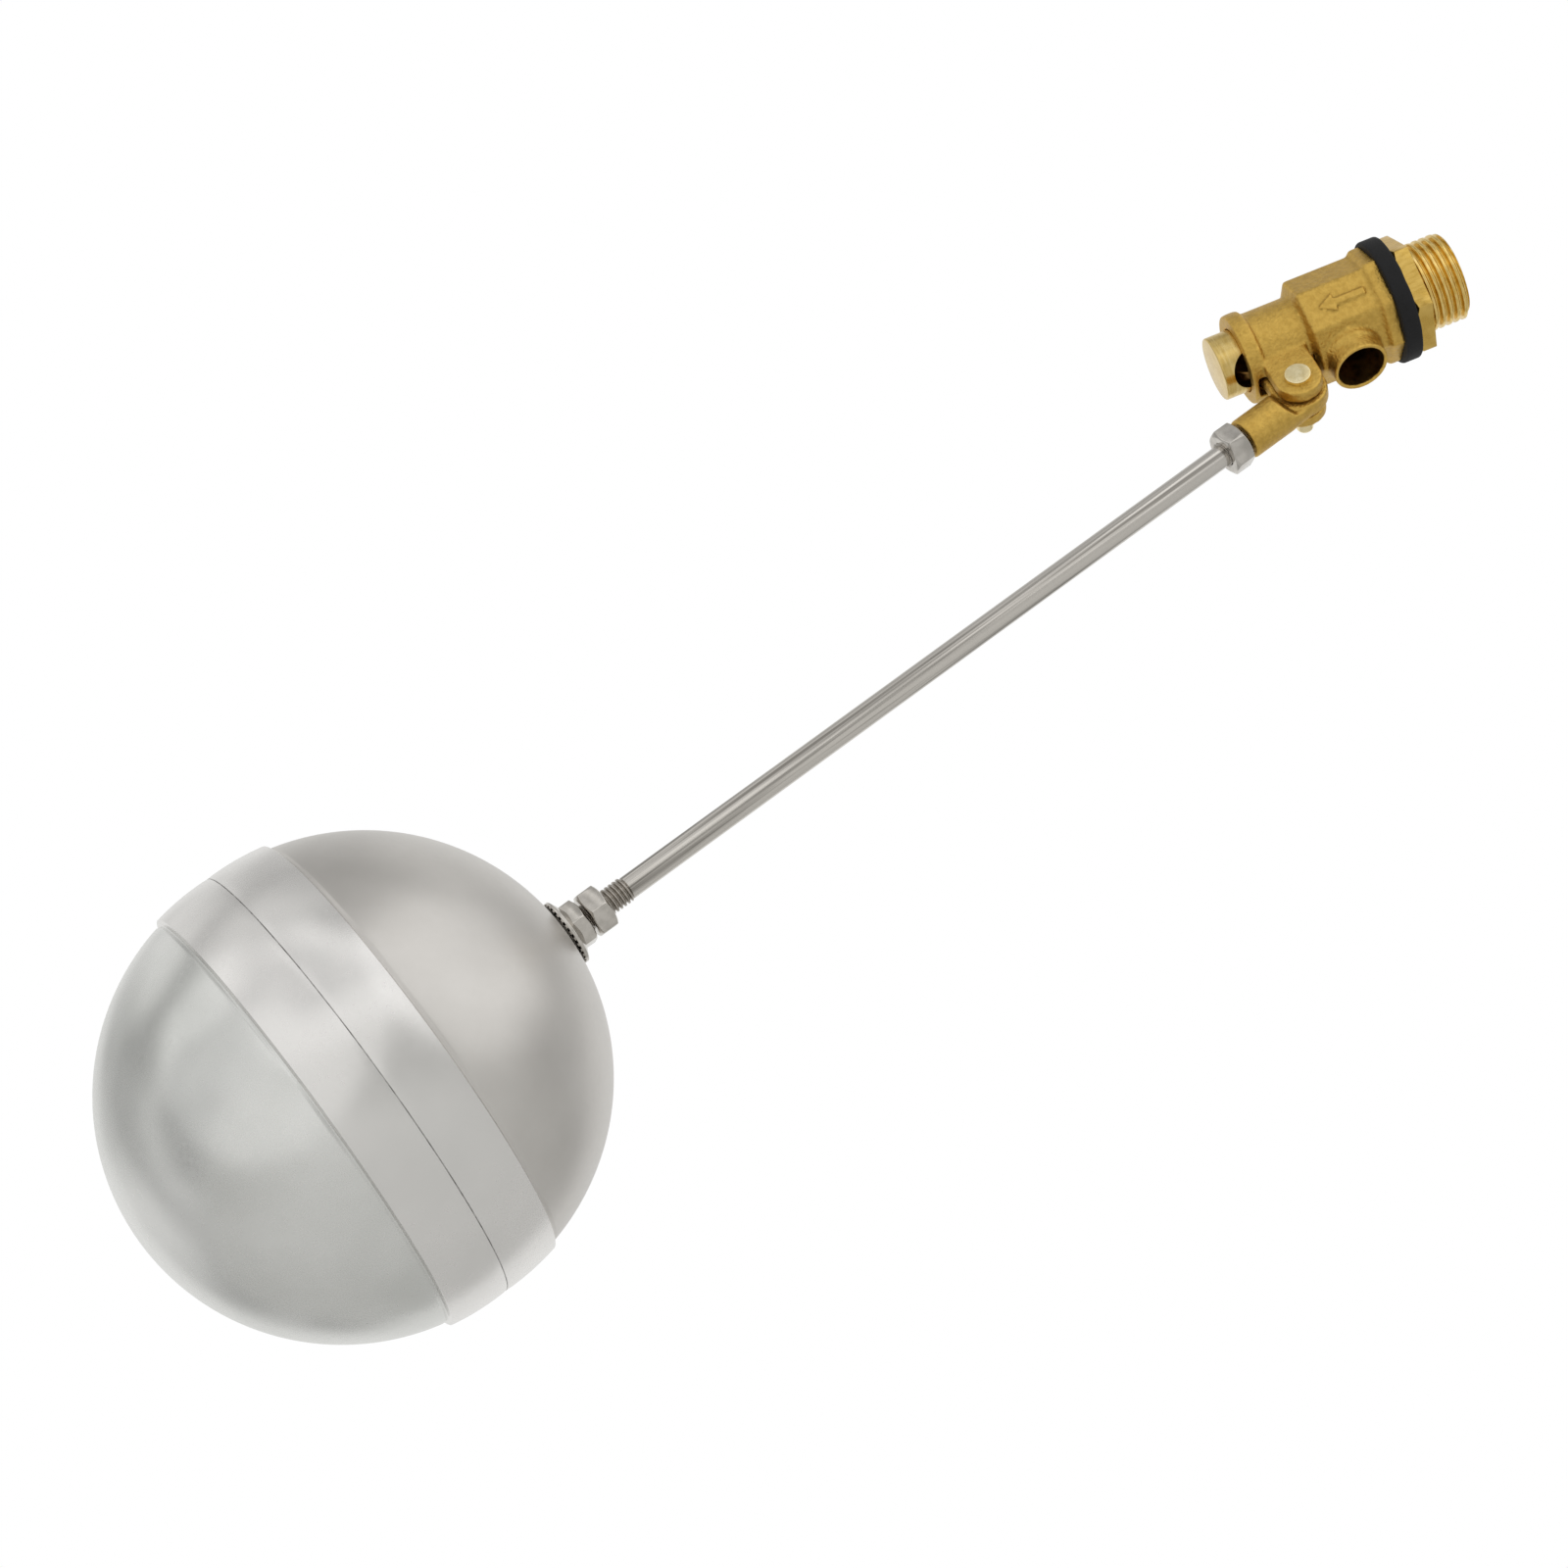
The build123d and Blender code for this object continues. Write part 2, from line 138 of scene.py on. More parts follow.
class NodeGraph:
    """Adds and links nodes of one tree, shader or geometry."""

    def __init__(self, tree: bpy.types.NodeTree) -> None:
        """Keeps the tree to work on.

        Args:
            tree: The node tree that nodes are added to.
        """
        self.tree = tree

    def add(self, kind: str, **settings: Any) -> bpy.types.Node:
        """Adds a node.

        Args:
            kind: Blender's name of the node type.
            settings: Properties to set on the node.

        Returns:
            The new node.
        """
        node = self.tree.nodes.new(kind)
        for name, value in settings.items():
            setattr(node, name, value)
        return node

    def feed(self, socket: bpy.types.NodeSocket, value: Any) -> None:
        """Links a socket to another one, or sets its own value.

        Args:
            socket: The input to feed.
            value: An output socket, or a plain value.
        """
        if isinstance(value, bpy.types.NodeSocket):
            self.tree.links.new(value, socket)
        else:
            socket.default_value = value

    def math(self, operation: str, *values: Any) -> bpy.types.NodeSocket:
        """Adds a Math node.

        Args:
            operation: Its operation.
            values: Its operands, sockets or numbers.

        Returns:
            Its result.
        """
        node = self.add("ShaderNodeMath", operation=operation)
        for socket, value in zip(node.inputs, values):
            self.feed(socket, value)
        return node.outputs[0]

    def noise(
        self, vector: bpy.types.NodeSocket, scale: float, detail: float = 4.0,
    ) -> bpy.types.NodeSocket:
        """Adds a noise texture.

        Args:
            vector: Its coordinates.
            scale: Cells per metre.
            detail: Octaves.

        Returns:
            Its grey value.
        """
        node = self.add("ShaderNodeTexNoise")
        self.feed(node.inputs["Vector"], vector)
        node.inputs["Scale"].default_value = scale
        node.inputs["Detail"].default_value = detail
        return node.outputs["Fac"]

    def ramp(
        self, value: bpy.types.NodeSocket, stops: Sequence[tuple[float, Colour]],
    ) -> bpy.types.NodeSocket:
        """Adds a colour ramp.

        Args:
            value: What it reads.
            stops: Places and linear colours.

        Returns:
            Its colour.
        """
        node = self.add("ShaderNodeValToRGB")
        self.feed(node.inputs["Fac"], value)
        elements = node.color_ramp.elements
        while len(elements) < len(stops):
            elements.new(0.5)
        for element, (place, colour) in zip(elements, stops):
            element.position = place
            element.color = (*colour, 1.0)
        return node.outputs["Color"]

    def span(self, value: bpy.types.NodeSocket, low: float, high: float) -> bpy.types.NodeSocket:
        """Maps a grey value from the middle of a noise's range to a range from low to high.

        Args:
            value: The grey value.
            low: Result at the dark end.
            high: Result at the light end.

        Returns:
            The mapped value.
        """
        node = self.add("ShaderNodeMapRange")
        self.feed(node.inputs["Value"], value)
        node.inputs["From Min"].default_value = NOISE_LOW
        node.inputs["From Max"].default_value = NOISE_HIGH
        node.inputs["To Min"].default_value = low
        node.inputs["To Max"].default_value = high
        return node.outputs["Result"]


def stretched(graph: NodeGraph, matrix: Matrix, stretch: Vector) -> bpy.types.NodeSocket:
    """Object coordinates turned into a piece's own frame and stretched.

    Args:
        graph: The material's graph.
        matrix: The piece's frame.
        stretch: Scale along each of its axes.

    Returns:
        The vector socket.
    """
    coordinates = graph.add("ShaderNodeTexCoord").outputs["Object"]
    inverse = matrix.inverted()
    turn = graph.add("ShaderNodeMapping", vector_type="POINT")
    graph.feed(turn.inputs["Vector"], coordinates)
    turn.inputs["Rotation"].default_value = inverse.to_euler()
    turn.inputs["Location"].default_value = inverse.to_translation()
    scale = graph.add("ShaderNodeMapping", vector_type="POINT")
    graph.feed(scale.inputs["Vector"], turn.outputs["Vector"])
    scale.inputs["Scale"].default_value = stretch
    return scale.outputs["Vector"]


@dataclass(frozen=True)
class Finish:
    """A surface finish: two tints mixed by patches, fine grain, and a gloss that varies."""

    name: str
    light: Colour
    dark: Colour
    metallic: float
    roughness: tuple[float, float]
    patch_scale: float
    grain_scale: float
    grain_depth: float
    stretch: tuple[float, float, float] = (1.0, 1.0, 1.0)
    frame_matrix: Optional[Matrix] = None
    # Strength of the painted shade in hollows and of the lighter, worn edges.
    edge_wear_and_hollow_shade: float = 0.0
    specular: float = 0.5
    patch_contrast: tuple[float, float] = (0.35, 0.65)
    # Darkness of the painted shade in hollows, as a share of the dark tint.
    painted_hollow_shade_share: float = 0.4
    edge_share: float = 1.25

    def material(self) -> bpy.types.Material:
        """Builds the finish's material, once.

        Returns:
            The material.
        """
        found = bpy.data.materials.get(self.name)
        if found:
            return found
        material = bpy.data.materials.new(self.name)
        material.use_nodes = True
        graph = NodeGraph(material.node_tree)
        shader = material.node_tree.nodes["Principled BSDF"]
        shader.inputs["Metallic"].default_value = self.metallic
        shader.inputs["Specular IOR Level"].default_value = self.specular
        vector = stretched(graph, self.frame_matrix or ON_BODY, Vector(self.stretch))
        patches = graph.noise(vector, self.patch_scale)
        low, high = self.patch_contrast
        colour = graph.ramp(patches, ((low, self.dark), (high, self.light)))
        if self.edge_wear_and_hollow_shade > 0:
            colour = self.worn_edges_and_painted_hollow_shade(graph, colour)
        graph.feed(shader.inputs["Base Color"], colour)
        grain = graph.noise(vector, self.grain_scale, GRAIN_DETAIL)
        gloss = graph.math("MULTIPLY_ADD", grain, 0.5, graph.math("MULTIPLY", patches, 0.5))
        graph.feed(shader.inputs["Roughness"], graph.span(gloss, *self.roughness))
        bump = graph.add("ShaderNodeBump")
        bump.inputs["Strength"].default_value = 1.0
        bump.inputs["Distance"].default_value = self.grain_depth * MM
        graph.feed(bump.inputs["Height"], grain)
        graph.feed(shader.inputs["Normal"], bump.outputs["Normal"])
        return material

    def worn_edges_and_painted_hollow_shade(self, graph: NodeGraph, colour: bpy.types.NodeSocket) -> bpy.types.NodeSocket:
        """Darkens hollows with painted shade and lightens edges as wear.

        Args:
            graph: The material's graph.
            colour: The colour before wear and painted shade.

        Returns:
            The colour with worn, lighter edges and painted shade in hollows.
        """
        pointiness = graph.add("ShaderNodeNewGeometry").outputs["Pointiness"]
        painted_hollow_shade = tuple(self.painted_hollow_shade_share * part for part in self.dark)
        bright = tuple(min(1.0, self.edge_share * part) for part in self.light)
        # Low pointiness marks hollows, which are painted darker as shade; high pointiness marks edges,
        # which are lighter as wear.
        stops = ((0.45, painted_hollow_shade), (0.495, self.light), (0.505, self.light), (0.55, bright))
        wear_and_painted_shade = graph.ramp(pointiness, stops)
        mix = graph.add("ShaderNodeMix", data_type="RGBA", blend_type="MIX")
        mix.inputs["Factor"].default_value = self.edge_wear_and_hollow_shade
        inputs = {socket.identifier: socket for socket in mix.inputs}
        outputs = {socket.identifier: socket for socket in mix.outputs}
        graph.feed(inputs["A_Color"], colour)
        graph.feed(inputs["B_Color"], wear_and_painted_shade)
        return outputs["Result_Color"]


CAST_BRASS = Finish(
    name="cast_brass_blasted",
    light=(0.64, 0.42, 0.10),
    dark=(0.41, 0.24, 0.045),
    metallic=1.0,
    roughness=(0.34, 0.54),
    patch_scale=800.0,
    grain_scale=1500.0,
    grain_depth=0.24,
    # The casting's hollows get painted shade and its edges a lighter, worn tint.
    edge_wear_and_hollow_shade=0.5,
)
TURNED_BRASS = Finish(
    name="turned_brass_rings",
    light=(0.74, 0.555, 0.22),
    dark=(0.62, 0.43, 0.13),
    metallic=1.0,
    roughness=(0.16, 0.30),
    patch_scale=300.0,
    grain_scale=900.0,
    grain_depth=0.012,
    stretch=(6.0, 1.0, 1.0),
)
THREAD_BRASS = Finish(
    name="thread_brass_bright",
    light=(0.84, 0.63, 0.25),
    dark=(0.66, 0.45, 0.12),
    metallic=1.0,
    roughness=(0.12, 0.24),
    patch_scale=500.0,
    grain_scale=1500.0,
    grain_depth=0.008,
    stretch=(6.0, 1.0, 1.0),
)
NUT_BRASS = Finish(
    name="nut_brass_milled",
    light=(0.70, 0.475, 0.13),
    dark=(0.56, 0.36, 0.08),
    metallic=1.0,
    roughness=(0.24, 0.36),
    patch_scale=260.0,
    grain_scale=1200.0,
    grain_depth=0.01,
    stretch=(1.0, 1.0, 5.0),
)
PALE_BRASS = Finish(
    name="pale_brass_polished",
    light=(0.92, 0.80, 0.50),
    dark=(0.84, 0.69, 0.37),
    metallic=1.0,
    roughness=(0.16, 0.28),
    patch_scale=500.0,
    grain_scale=2000.0,
    grain_depth=0.004,
)
# Dark brass for bore walls, the drive hole and the finger inside it: painted shade, partly also dirt.
SHADE_AND_DIRT_BRASS = Finish(
    name="bore_shade_and_dirt_brass",
    light=(0.34, 0.19, 0.055),
    dark=(0.17, 0.09, 0.026),
    metallic=1.0,
    roughness=(0.30, 0.48),
    patch_scale=500.0,
    grain_scale=1500.0,
    grain_depth=0.03,
)
BLACK_RUBBER = Finish(
    name="black_rubber_moulded",
    light=(0.011, 0.011, 0.012),
    dark=(0.007, 0.007, 0.0075),
    metallic=0.0,
    roughness=(0.62, 0.8),
    patch_scale=350.0,
    grain_scale=2400.0,
    grain_depth=0.03,
    specular=0.28,
)
NUT_STEEL = Finish(
    name="nut_steel_bright",
    light=(0.60, 0.57, 0.53),
    dark=(0.48, 0.455, 0.42),
    metallic=1.0,
    roughness=(0.10, 0.20),
    patch_scale=420.0,
    grain_scale=1500.0,
    grain_depth=0.005,
    frame_matrix=ARM.matrix(),
)
# Long dark streaks along the rod: partly drawn-rod marks, partly a painted dark reflection line.
ROD_STEEL_STREAKS_AND_REFLECTION = Finish(
    name="rod_steel_drawn_streaks_and_painted_reflection",
    light=(0.64, 0.61, 0.57),
    dark=(0.24, 0.225, 0.205),
    metallic=1.0,
    roughness=(0.12, 0.24),
    patch_scale=640.0,
    grain_scale=2200.0,
    grain_depth=0.014,
    stretch=(0.012, 1.0, 1.0),
    frame_matrix=ARM.matrix(),
    patch_contrast=(0.36, 0.5),
)
THREAD_STEEL = Finish(
    name="rod_steel_thread",
    light=(0.46, 0.425, 0.385),
    dark=(0.32, 0.295, 0.26),
    metallic=1.0,
    roughness=(0.18, 0.3),
    patch_scale=700.0,
    grain_scale=2600.0,
    grain_depth=0.01,
    frame_matrix=ARM.matrix(),
)
FLOAT_STEEL = Finish(
    name="float_steel_polished",
    light=(0.76, 0.76, 0.745),
    dark=(0.60, 0.605, 0.585),
    metallic=1.0,
    roughness=(0.22, 0.32),
    patch_scale=26.0,
    grain_scale=900.0,
    grain_depth=0.004,
    frame_matrix=ARM.matrix(),
    patch_contrast=(0.3, 0.7),
)
FLOAT_SATIN = Finish(
    name="float_steel_satin",
    light=(0.66, 0.64, 0.615),
    dark=(0.55, 0.53, 0.505),
    metallic=1.0,
    roughness=(0.32, 0.42),
    patch_scale=30.0,
    grain_scale=900.0,
    grain_depth=0.006,
    frame_matrix=ARM.matrix(),
    patch_contrast=(0.3, 0.7),
)
FLOAT_BELT = Finish(
    name="float_steel_belt",
    light=(0.78, 0.765, 0.75),
    dark=(0.69, 0.68, 0.665),
    metallic=1.0,
    roughness=(0.20, 0.30),
    patch_scale=34.0,
    grain_scale=900.0,
    grain_depth=0.004,
    frame_matrix=ARM.matrix(),
    patch_contrast=(0.3, 0.7),
)
WELD_STEEL = Finish(
    name="float_steel_weld",
    light=(0.42, 0.41, 0.40),
    dark=(0.16, 0.155, 0.15),
    metallic=1.0,
    roughness=(0.3, 0.5),
    patch_scale=500.0,
    grain_scale=1800.0,
    grain_depth=0.02,
    frame_matrix=ARM.matrix(),
)


# ---------------------------------------------------------------- mesh helpers


def new_object(name: str, mesh: bpy.types.Mesh) -> bpy.types.Object:
    """Links a new object for a mesh.

    Args:
        name: The piece's name.
        mesh: Its mesh.

    Returns:
        The object.
    """
    piece = bpy.data.objects.new(name, mesh)
    bpy.context.scene.collection.objects.link(piece)
    return piece


def mesh_from(bm: bmesh.types.BMesh, name: str) -> bpy.types.Mesh:
    """Turns a closed bmesh into a mesh whose faces point outwards.

    Args:
        bm: The bmesh, freed afterwards.
        name: The mesh's name.

    Returns:
        The mesh.
    """
    bmesh.ops.recalc_face_normals(bm, faces=bm.faces)
    mesh = bpy.data.meshes.new(name)
    bm.to_mesh(mesh)
    bm.free()
    return mesh


def smooth_shade(mesh: bpy.types.Mesh, sharp_degrees: float = SHARP_DEGREES) -> None:
    """Shades a mesh smooth, but not across its sharp edges.

    Args:
        mesh: The mesh.
        sharp_degrees: Edges sharper than this stay sharp.
    """
    mesh.shade_smooth()
    mesh.set_sharp_from_angle(angle=math.radians(sharp_degrees))


def evaluated_mesh(piece: bpy.types.Object) -> bpy.types.Mesh:
    """Returns a piece's mesh with its modifiers applied."""
    graph = bpy.context.evaluated_depsgraph_get()
    return bpy.data.meshes.new_from_object(piece.evaluated_get(graph))


def apply_modifiers(piece: bpy.types.Object) -> None:
    """Bakes a piece's modifiers into its mesh and removes them.

    Args:
        piece: The piece.
    """
    mesh = evaluated_mesh(piece)
    piece.modifiers.clear()
    piece.data = mesh


def rounded(points: Sequence[tuple[float, float, float]], steps: int = 4) -> list[Point]:
    """Rounds the corners of an open outline.

    Args:
        points: Corners as (x, r, rounding radius).
        steps: Segments in each rounded corner.

    Returns:
        The outline's points.
    """
    outline: list[Point] = []
    for index, (x, r, radius) in enumerate(points):
        if radius <= 0 or index in (0, len(points) - 1):
            outline.append((x, r))
            continue
        corner = Vector((x, r))
        before = (Vector(points[index - 1][:2]) - corner).normalized()
        after = (Vector(points[index + 1][:2]) - corner).normalized()
        half = before.angle(after) / 2
        reach = radius / math.tan(half)
        centre = corner + (before + after).normalized() * (radius / math.sin(half))
        start = corner + before * reach - centre
        end = corner + after * reach - centre
        for step in range(steps + 1):
            arm = start.lerp(end, step / steps).normalized() * radius
            outline.append(tuple(centre + arm))
    return outline


def bridge(bm: bmesh.types.BMesh, first: list, second: list, segments: int) -> None:
    """Joins two rings of vertices with faces; a ring of one vertex is a pole.

    Args:
        bm: The bmesh that both rings are in.
        first: Vertices of one ring.
        second: Vertices of the next ring.
        segments: Steps around.
    """
    for step in range(segments):
        after = (step + 1) % segments
        if len(first) == 1 and len(second) == 1:
            return
        if len(first) == 1:
            bm.faces.new((first[0], second[step], second[after]))
        elif len(second) == 1:
            bm.faces.new((first[step], second[0], first[after]))
        else:
            bm.faces.new((first[step], second[step], second[after], first[after]))


Wobble = Callable[[float, float, float], tuple[float, float]]


def lathe(
    name: str, outline: Sequence[Point], matrix: Matrix, segments: int = 128, closed: bool = False,
    wobble: Optional[Wobble] = None,
) -> bpy.types.Object:
    """Turns an outline about X.

    Args:
        name: The piece's name.
        outline: Points as (x, r) in millimetres; an open outline starts and ends on the axis.
        matrix: The frame that it is placed in.
        segments: Steps around.
        closed: Whether the outline is a loop, as for a ring.
        wobble: Optional change of (x, r) at an angle.

    Returns:
        The object.
    """
    bm = bmesh.new()
    rings = []
    for x, r in outline:
        if r < ON_AXIS:
            rings.append([bm.verts.new((x * MM, 0, 0))])
            continue
        ring = []
        for step in range(segments):
            angle = 2 * math.pi * step / segments
            px, pr = wobble(x, r, angle) if wobble else (x, r)
            ring.append(bm.verts.new((px * MM, pr * MM * math.cos(angle), pr * MM * math.sin(angle))))
        rings.append(ring)
    pairs = list(zip(rings, rings[1:]))
    if closed:
        pairs.append((rings[-1], rings[0]))
    for first, second in pairs:
        bridge(bm, first, second, segments)
    bmesh.ops.transform(bm, matrix=matrix, verts=bm.verts)
    mesh = mesh_from(bm, name)
    smooth_shade(mesh)
    return new_object(name, mesh)


def bevel(
    piece: bpy.types.Object, width: float, segments: int = 2, degrees: float = BEVEL_DEGREES,
) -> None:
    """Rounds a piece's sharp edges a little.

    Args:
        piece: The piece.
        width: Bevel width in millimetres.
        segments: Steps across the bevel.
        degrees: Edges sharper than this are rounded.
    """
    modifier = piece.modifiers.new("edge", "BEVEL")
    modifier.width = width * MM
    modifier.segments = segments
    modifier.limit_method = "ANGLE"
    modifier.angle_limit = math.radians(degrees)
    modifier.use_clamp_overlap = True
    apply_modifiers(piece)
    smooth_shade(piece.data)


def merged_copy(node: str, name: str) -> bpy.types.Object:
    """Copies a CAD node's mesh and merges its loose triangles.

    Args:
        node: The CAD node.
        name: The copy's name.

    Returns:
        The copy.
    """
    bm = bmesh.new()
    bm.from_mesh(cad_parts[node].data)
    bmesh.ops.remove_doubles(bm, verts=bm.verts, dist=WELD_DISTANCE)
    mesh = bpy.data.meshes.new(name)
    bm.to_mesh(mesh)
    bm.free()
    return new_object(name, mesh)


def relax(bm: bmesh.types.BMesh, verts: Sequence[bmesh.types.BMVert], factor: float) -> None:
    """Moves vertices towards the mean of their neighbours, by a share of the way."""
    bmesh.ops.smooth_vert(bm, verts=verts, factor=factor, use_axis_x=True, use_axis_y=True, use_axis_z=True)


def soften(
    piece: bpy.types.Object,
    voxel: float,
    passes: int,
    is_cast: Callable[[Vector], bool],
    keep: float,
) -> None:
    """Remeshes a casting and rounds its edges and corners, inside and out.

    Args:
        piece: The casting.
        voxel: Size of the remesh, in millimetres.
        passes: Smoothing passes on the cast skin.
        is_cast: Says whether a point, in millimetres, is on the cast skin.
        keep: Share of the faces that is kept at the end.
    """
    remesh = piece.modifiers.new("skin", "REMESH")
    remesh.mode = "VOXEL"
    remesh.voxel_size = voxel * MM
    apply_modifiers(piece)
    bm = bmesh.new()
    bm.from_mesh(piece.data)
    skin = [vert for vert in bm.verts if is_cast(vert.co / MM)]
    for _ in range(passes):
        relax(bm, skin, SKIN_RELAX)
    rest = [vert for vert in bm.verts if not is_cast(vert.co / MM)]
    relax(bm, rest, MACHINED_RELAX)
    bm.to_mesh(piece.data)
    bm.free()
    thin = piece.modifiers.new("thin", "DECIMATE")
    thin.ratio = keep
    apply_modifiers(piece)
    smooth_shade(piece.data, CAST_SHARP_DEGREES)


def join_into(piece: bpy.types.Object, extra: Iterable[bpy.types.Object]) -> None:
    """Adds other pieces' meshes to a piece and removes them.

    Args:
        piece: The piece that grows.
        extra: The pieces that are added.
    """
    bm = bmesh.new()
    bm.from_mesh(piece.data)
    for other in extra:
        bm.from_mesh(other.data)
        bpy.data.objects.remove(other)
    bm.to_mesh(piece.data)
    bm.free()


def dress(
    piece: bpy.types.Object, finish: Finish, body: Body, replaces: Sequence[str] = (),
) -> bpy.types.Object:
    """Gives a piece its finish and its body, and hides the CAD nodes that it replaces.

    Args:
        piece: The piece.
        finish: Its finish.
        body: The body that it rides on.
        replaces: CAD nodes that it replaces.

    Returns:
        The piece.
    """
    piece.data.materials.clear()
    piece.data.materials.append(finish.material())
    for polygon in piece.data.polygons:
        polygon.material_index = 0
    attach(piece, body.value)
    if replaces:
        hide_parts(*replaces)
    triangles = sum(len(polygon.vertices) - 2 for polygon in piece.data.polygons)
    LOG.info("%s rides on %s, %d triangles", piece.name, body.value, triangles)
    return piece


def refinish(piece: bpy.types.Object, finish: Finish, chosen: Callable[[Vector], bool]) -> None:
    """Gives some of a piece's faces another finish.

    Args:
        piece: The piece.
        finish: The other finish.
        chosen: Says whether a face centre, in millimetres, gets it.
    """
    piece.data.materials.append(finish.material())
    index = len(piece.data.materials) - 1
    for polygon in piece.data.polygons:
        if chosen(polygon.center / MM):
            polygon.material_index = index


def dress_node(node: str, finish: Finish) -> None:
    """Gives a carried-over CAD node its finish.

    Args:
        node: The CAD node.
        finish: Its finish.
    """
    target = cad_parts[node]
    target.data.materials.clear()
    target.data.materials.append(finish.material())
    LOG.info("%s keeps its shape, finish %s", node, finish.name)


# ---------------------------------------------------------------- geometry node trees


class GeometryTree(NodeGraph):
    """A Geometry Nodes tree with named inputs that ends in Realize Instances and Set Material."""

    def __init__(self, name: str, sharp_degrees: float) -> None:
        """Starts an empty tree.

        Args:
            name: The tree's name.
            sharp_degrees: Edges sharper than this stay sharp on what it makes.
        """
        self.sharp_degrees = sharp_degrees
        super().__init__(bpy.data.node_groups.new(name, "GeometryNodeTree"))
        self.tree.interface.new_socket("Geometry", in_out="OUTPUT", socket_type="NodeSocketGeometry")
        self.group_input = self.add("NodeGroupInput")
        self.identifiers: dict[str, str] = {}

    def named(self, name: str, kind: str = "NodeSocketFloat") -> bpy.types.NodeSocket:
        """Adds a named input.

        Args:
            name: Its name.
            kind: Its socket type.

        Returns:
            The socket that carries it inside the tree.
        """
        item = self.tree.interface.new_socket(name, in_out="INPUT", socket_type=kind)
        self.identifiers[name] = item.identifier
        return self.group_input.outputs[name]

    def close(self, geometry: bpy.types.NodeSocket) -> None:
        """Ends the tree.

        Args:
            geometry: What it makes.
        """
        material = self.named("Material", "NodeSocketMaterial")
        realize = self.add("GeometryNodeRealizeInstances")
        self.feed(realize.inputs["Geometry"], geometry)
        paint = self.add("GeometryNodeSetMaterial")
        self.feed(paint.inputs["Geometry"], realize.outputs["Geometry"])
        self.feed(paint.inputs["Material"], material)
        output = self.add("NodeGroupOutput")
        self.feed(output.inputs["Geometry"], paint.outputs["Geometry"])

    def make(
        self, name: str, matrix: Matrix, material: bpy.types.Material, **values: float,
    ) -> bpy.types.Object:
        """Runs the tree and bakes its result into a plain mesh.

        Args:
            name: The piece's name.
            matrix: The frame that it is placed in.
            material: Its material.
            values: The tree's inputs, named with underscores for spaces.

        Returns:
            The piece.
        """
        piece = new_object(name, bpy.data.meshes.new(name))
        modifier = piece.modifiers.new("tree", "NODES")
        modifier.node_group = self.tree
        modifier[self.identifiers["Material"]] = material
        for key, value in values.items():
            modifier[self.identifiers[key.replace("_", " ").title()]] = value
        mesh = evaluated_mesh(piece)
        piece.modifiers.clear()
        bm = bmesh.new()
        bm.from_mesh(mesh)
        bmesh.ops.remove_doubles(bm, verts=bm.verts, dist=PIECE_WELD_DISTANCE)
        bmesh.ops.transform(bm, matrix=matrix, verts=bm.verts)
        piece.data = mesh_from(bm, name)
        smooth_shade(piece.data, self.sharp_degrees)
        return piece


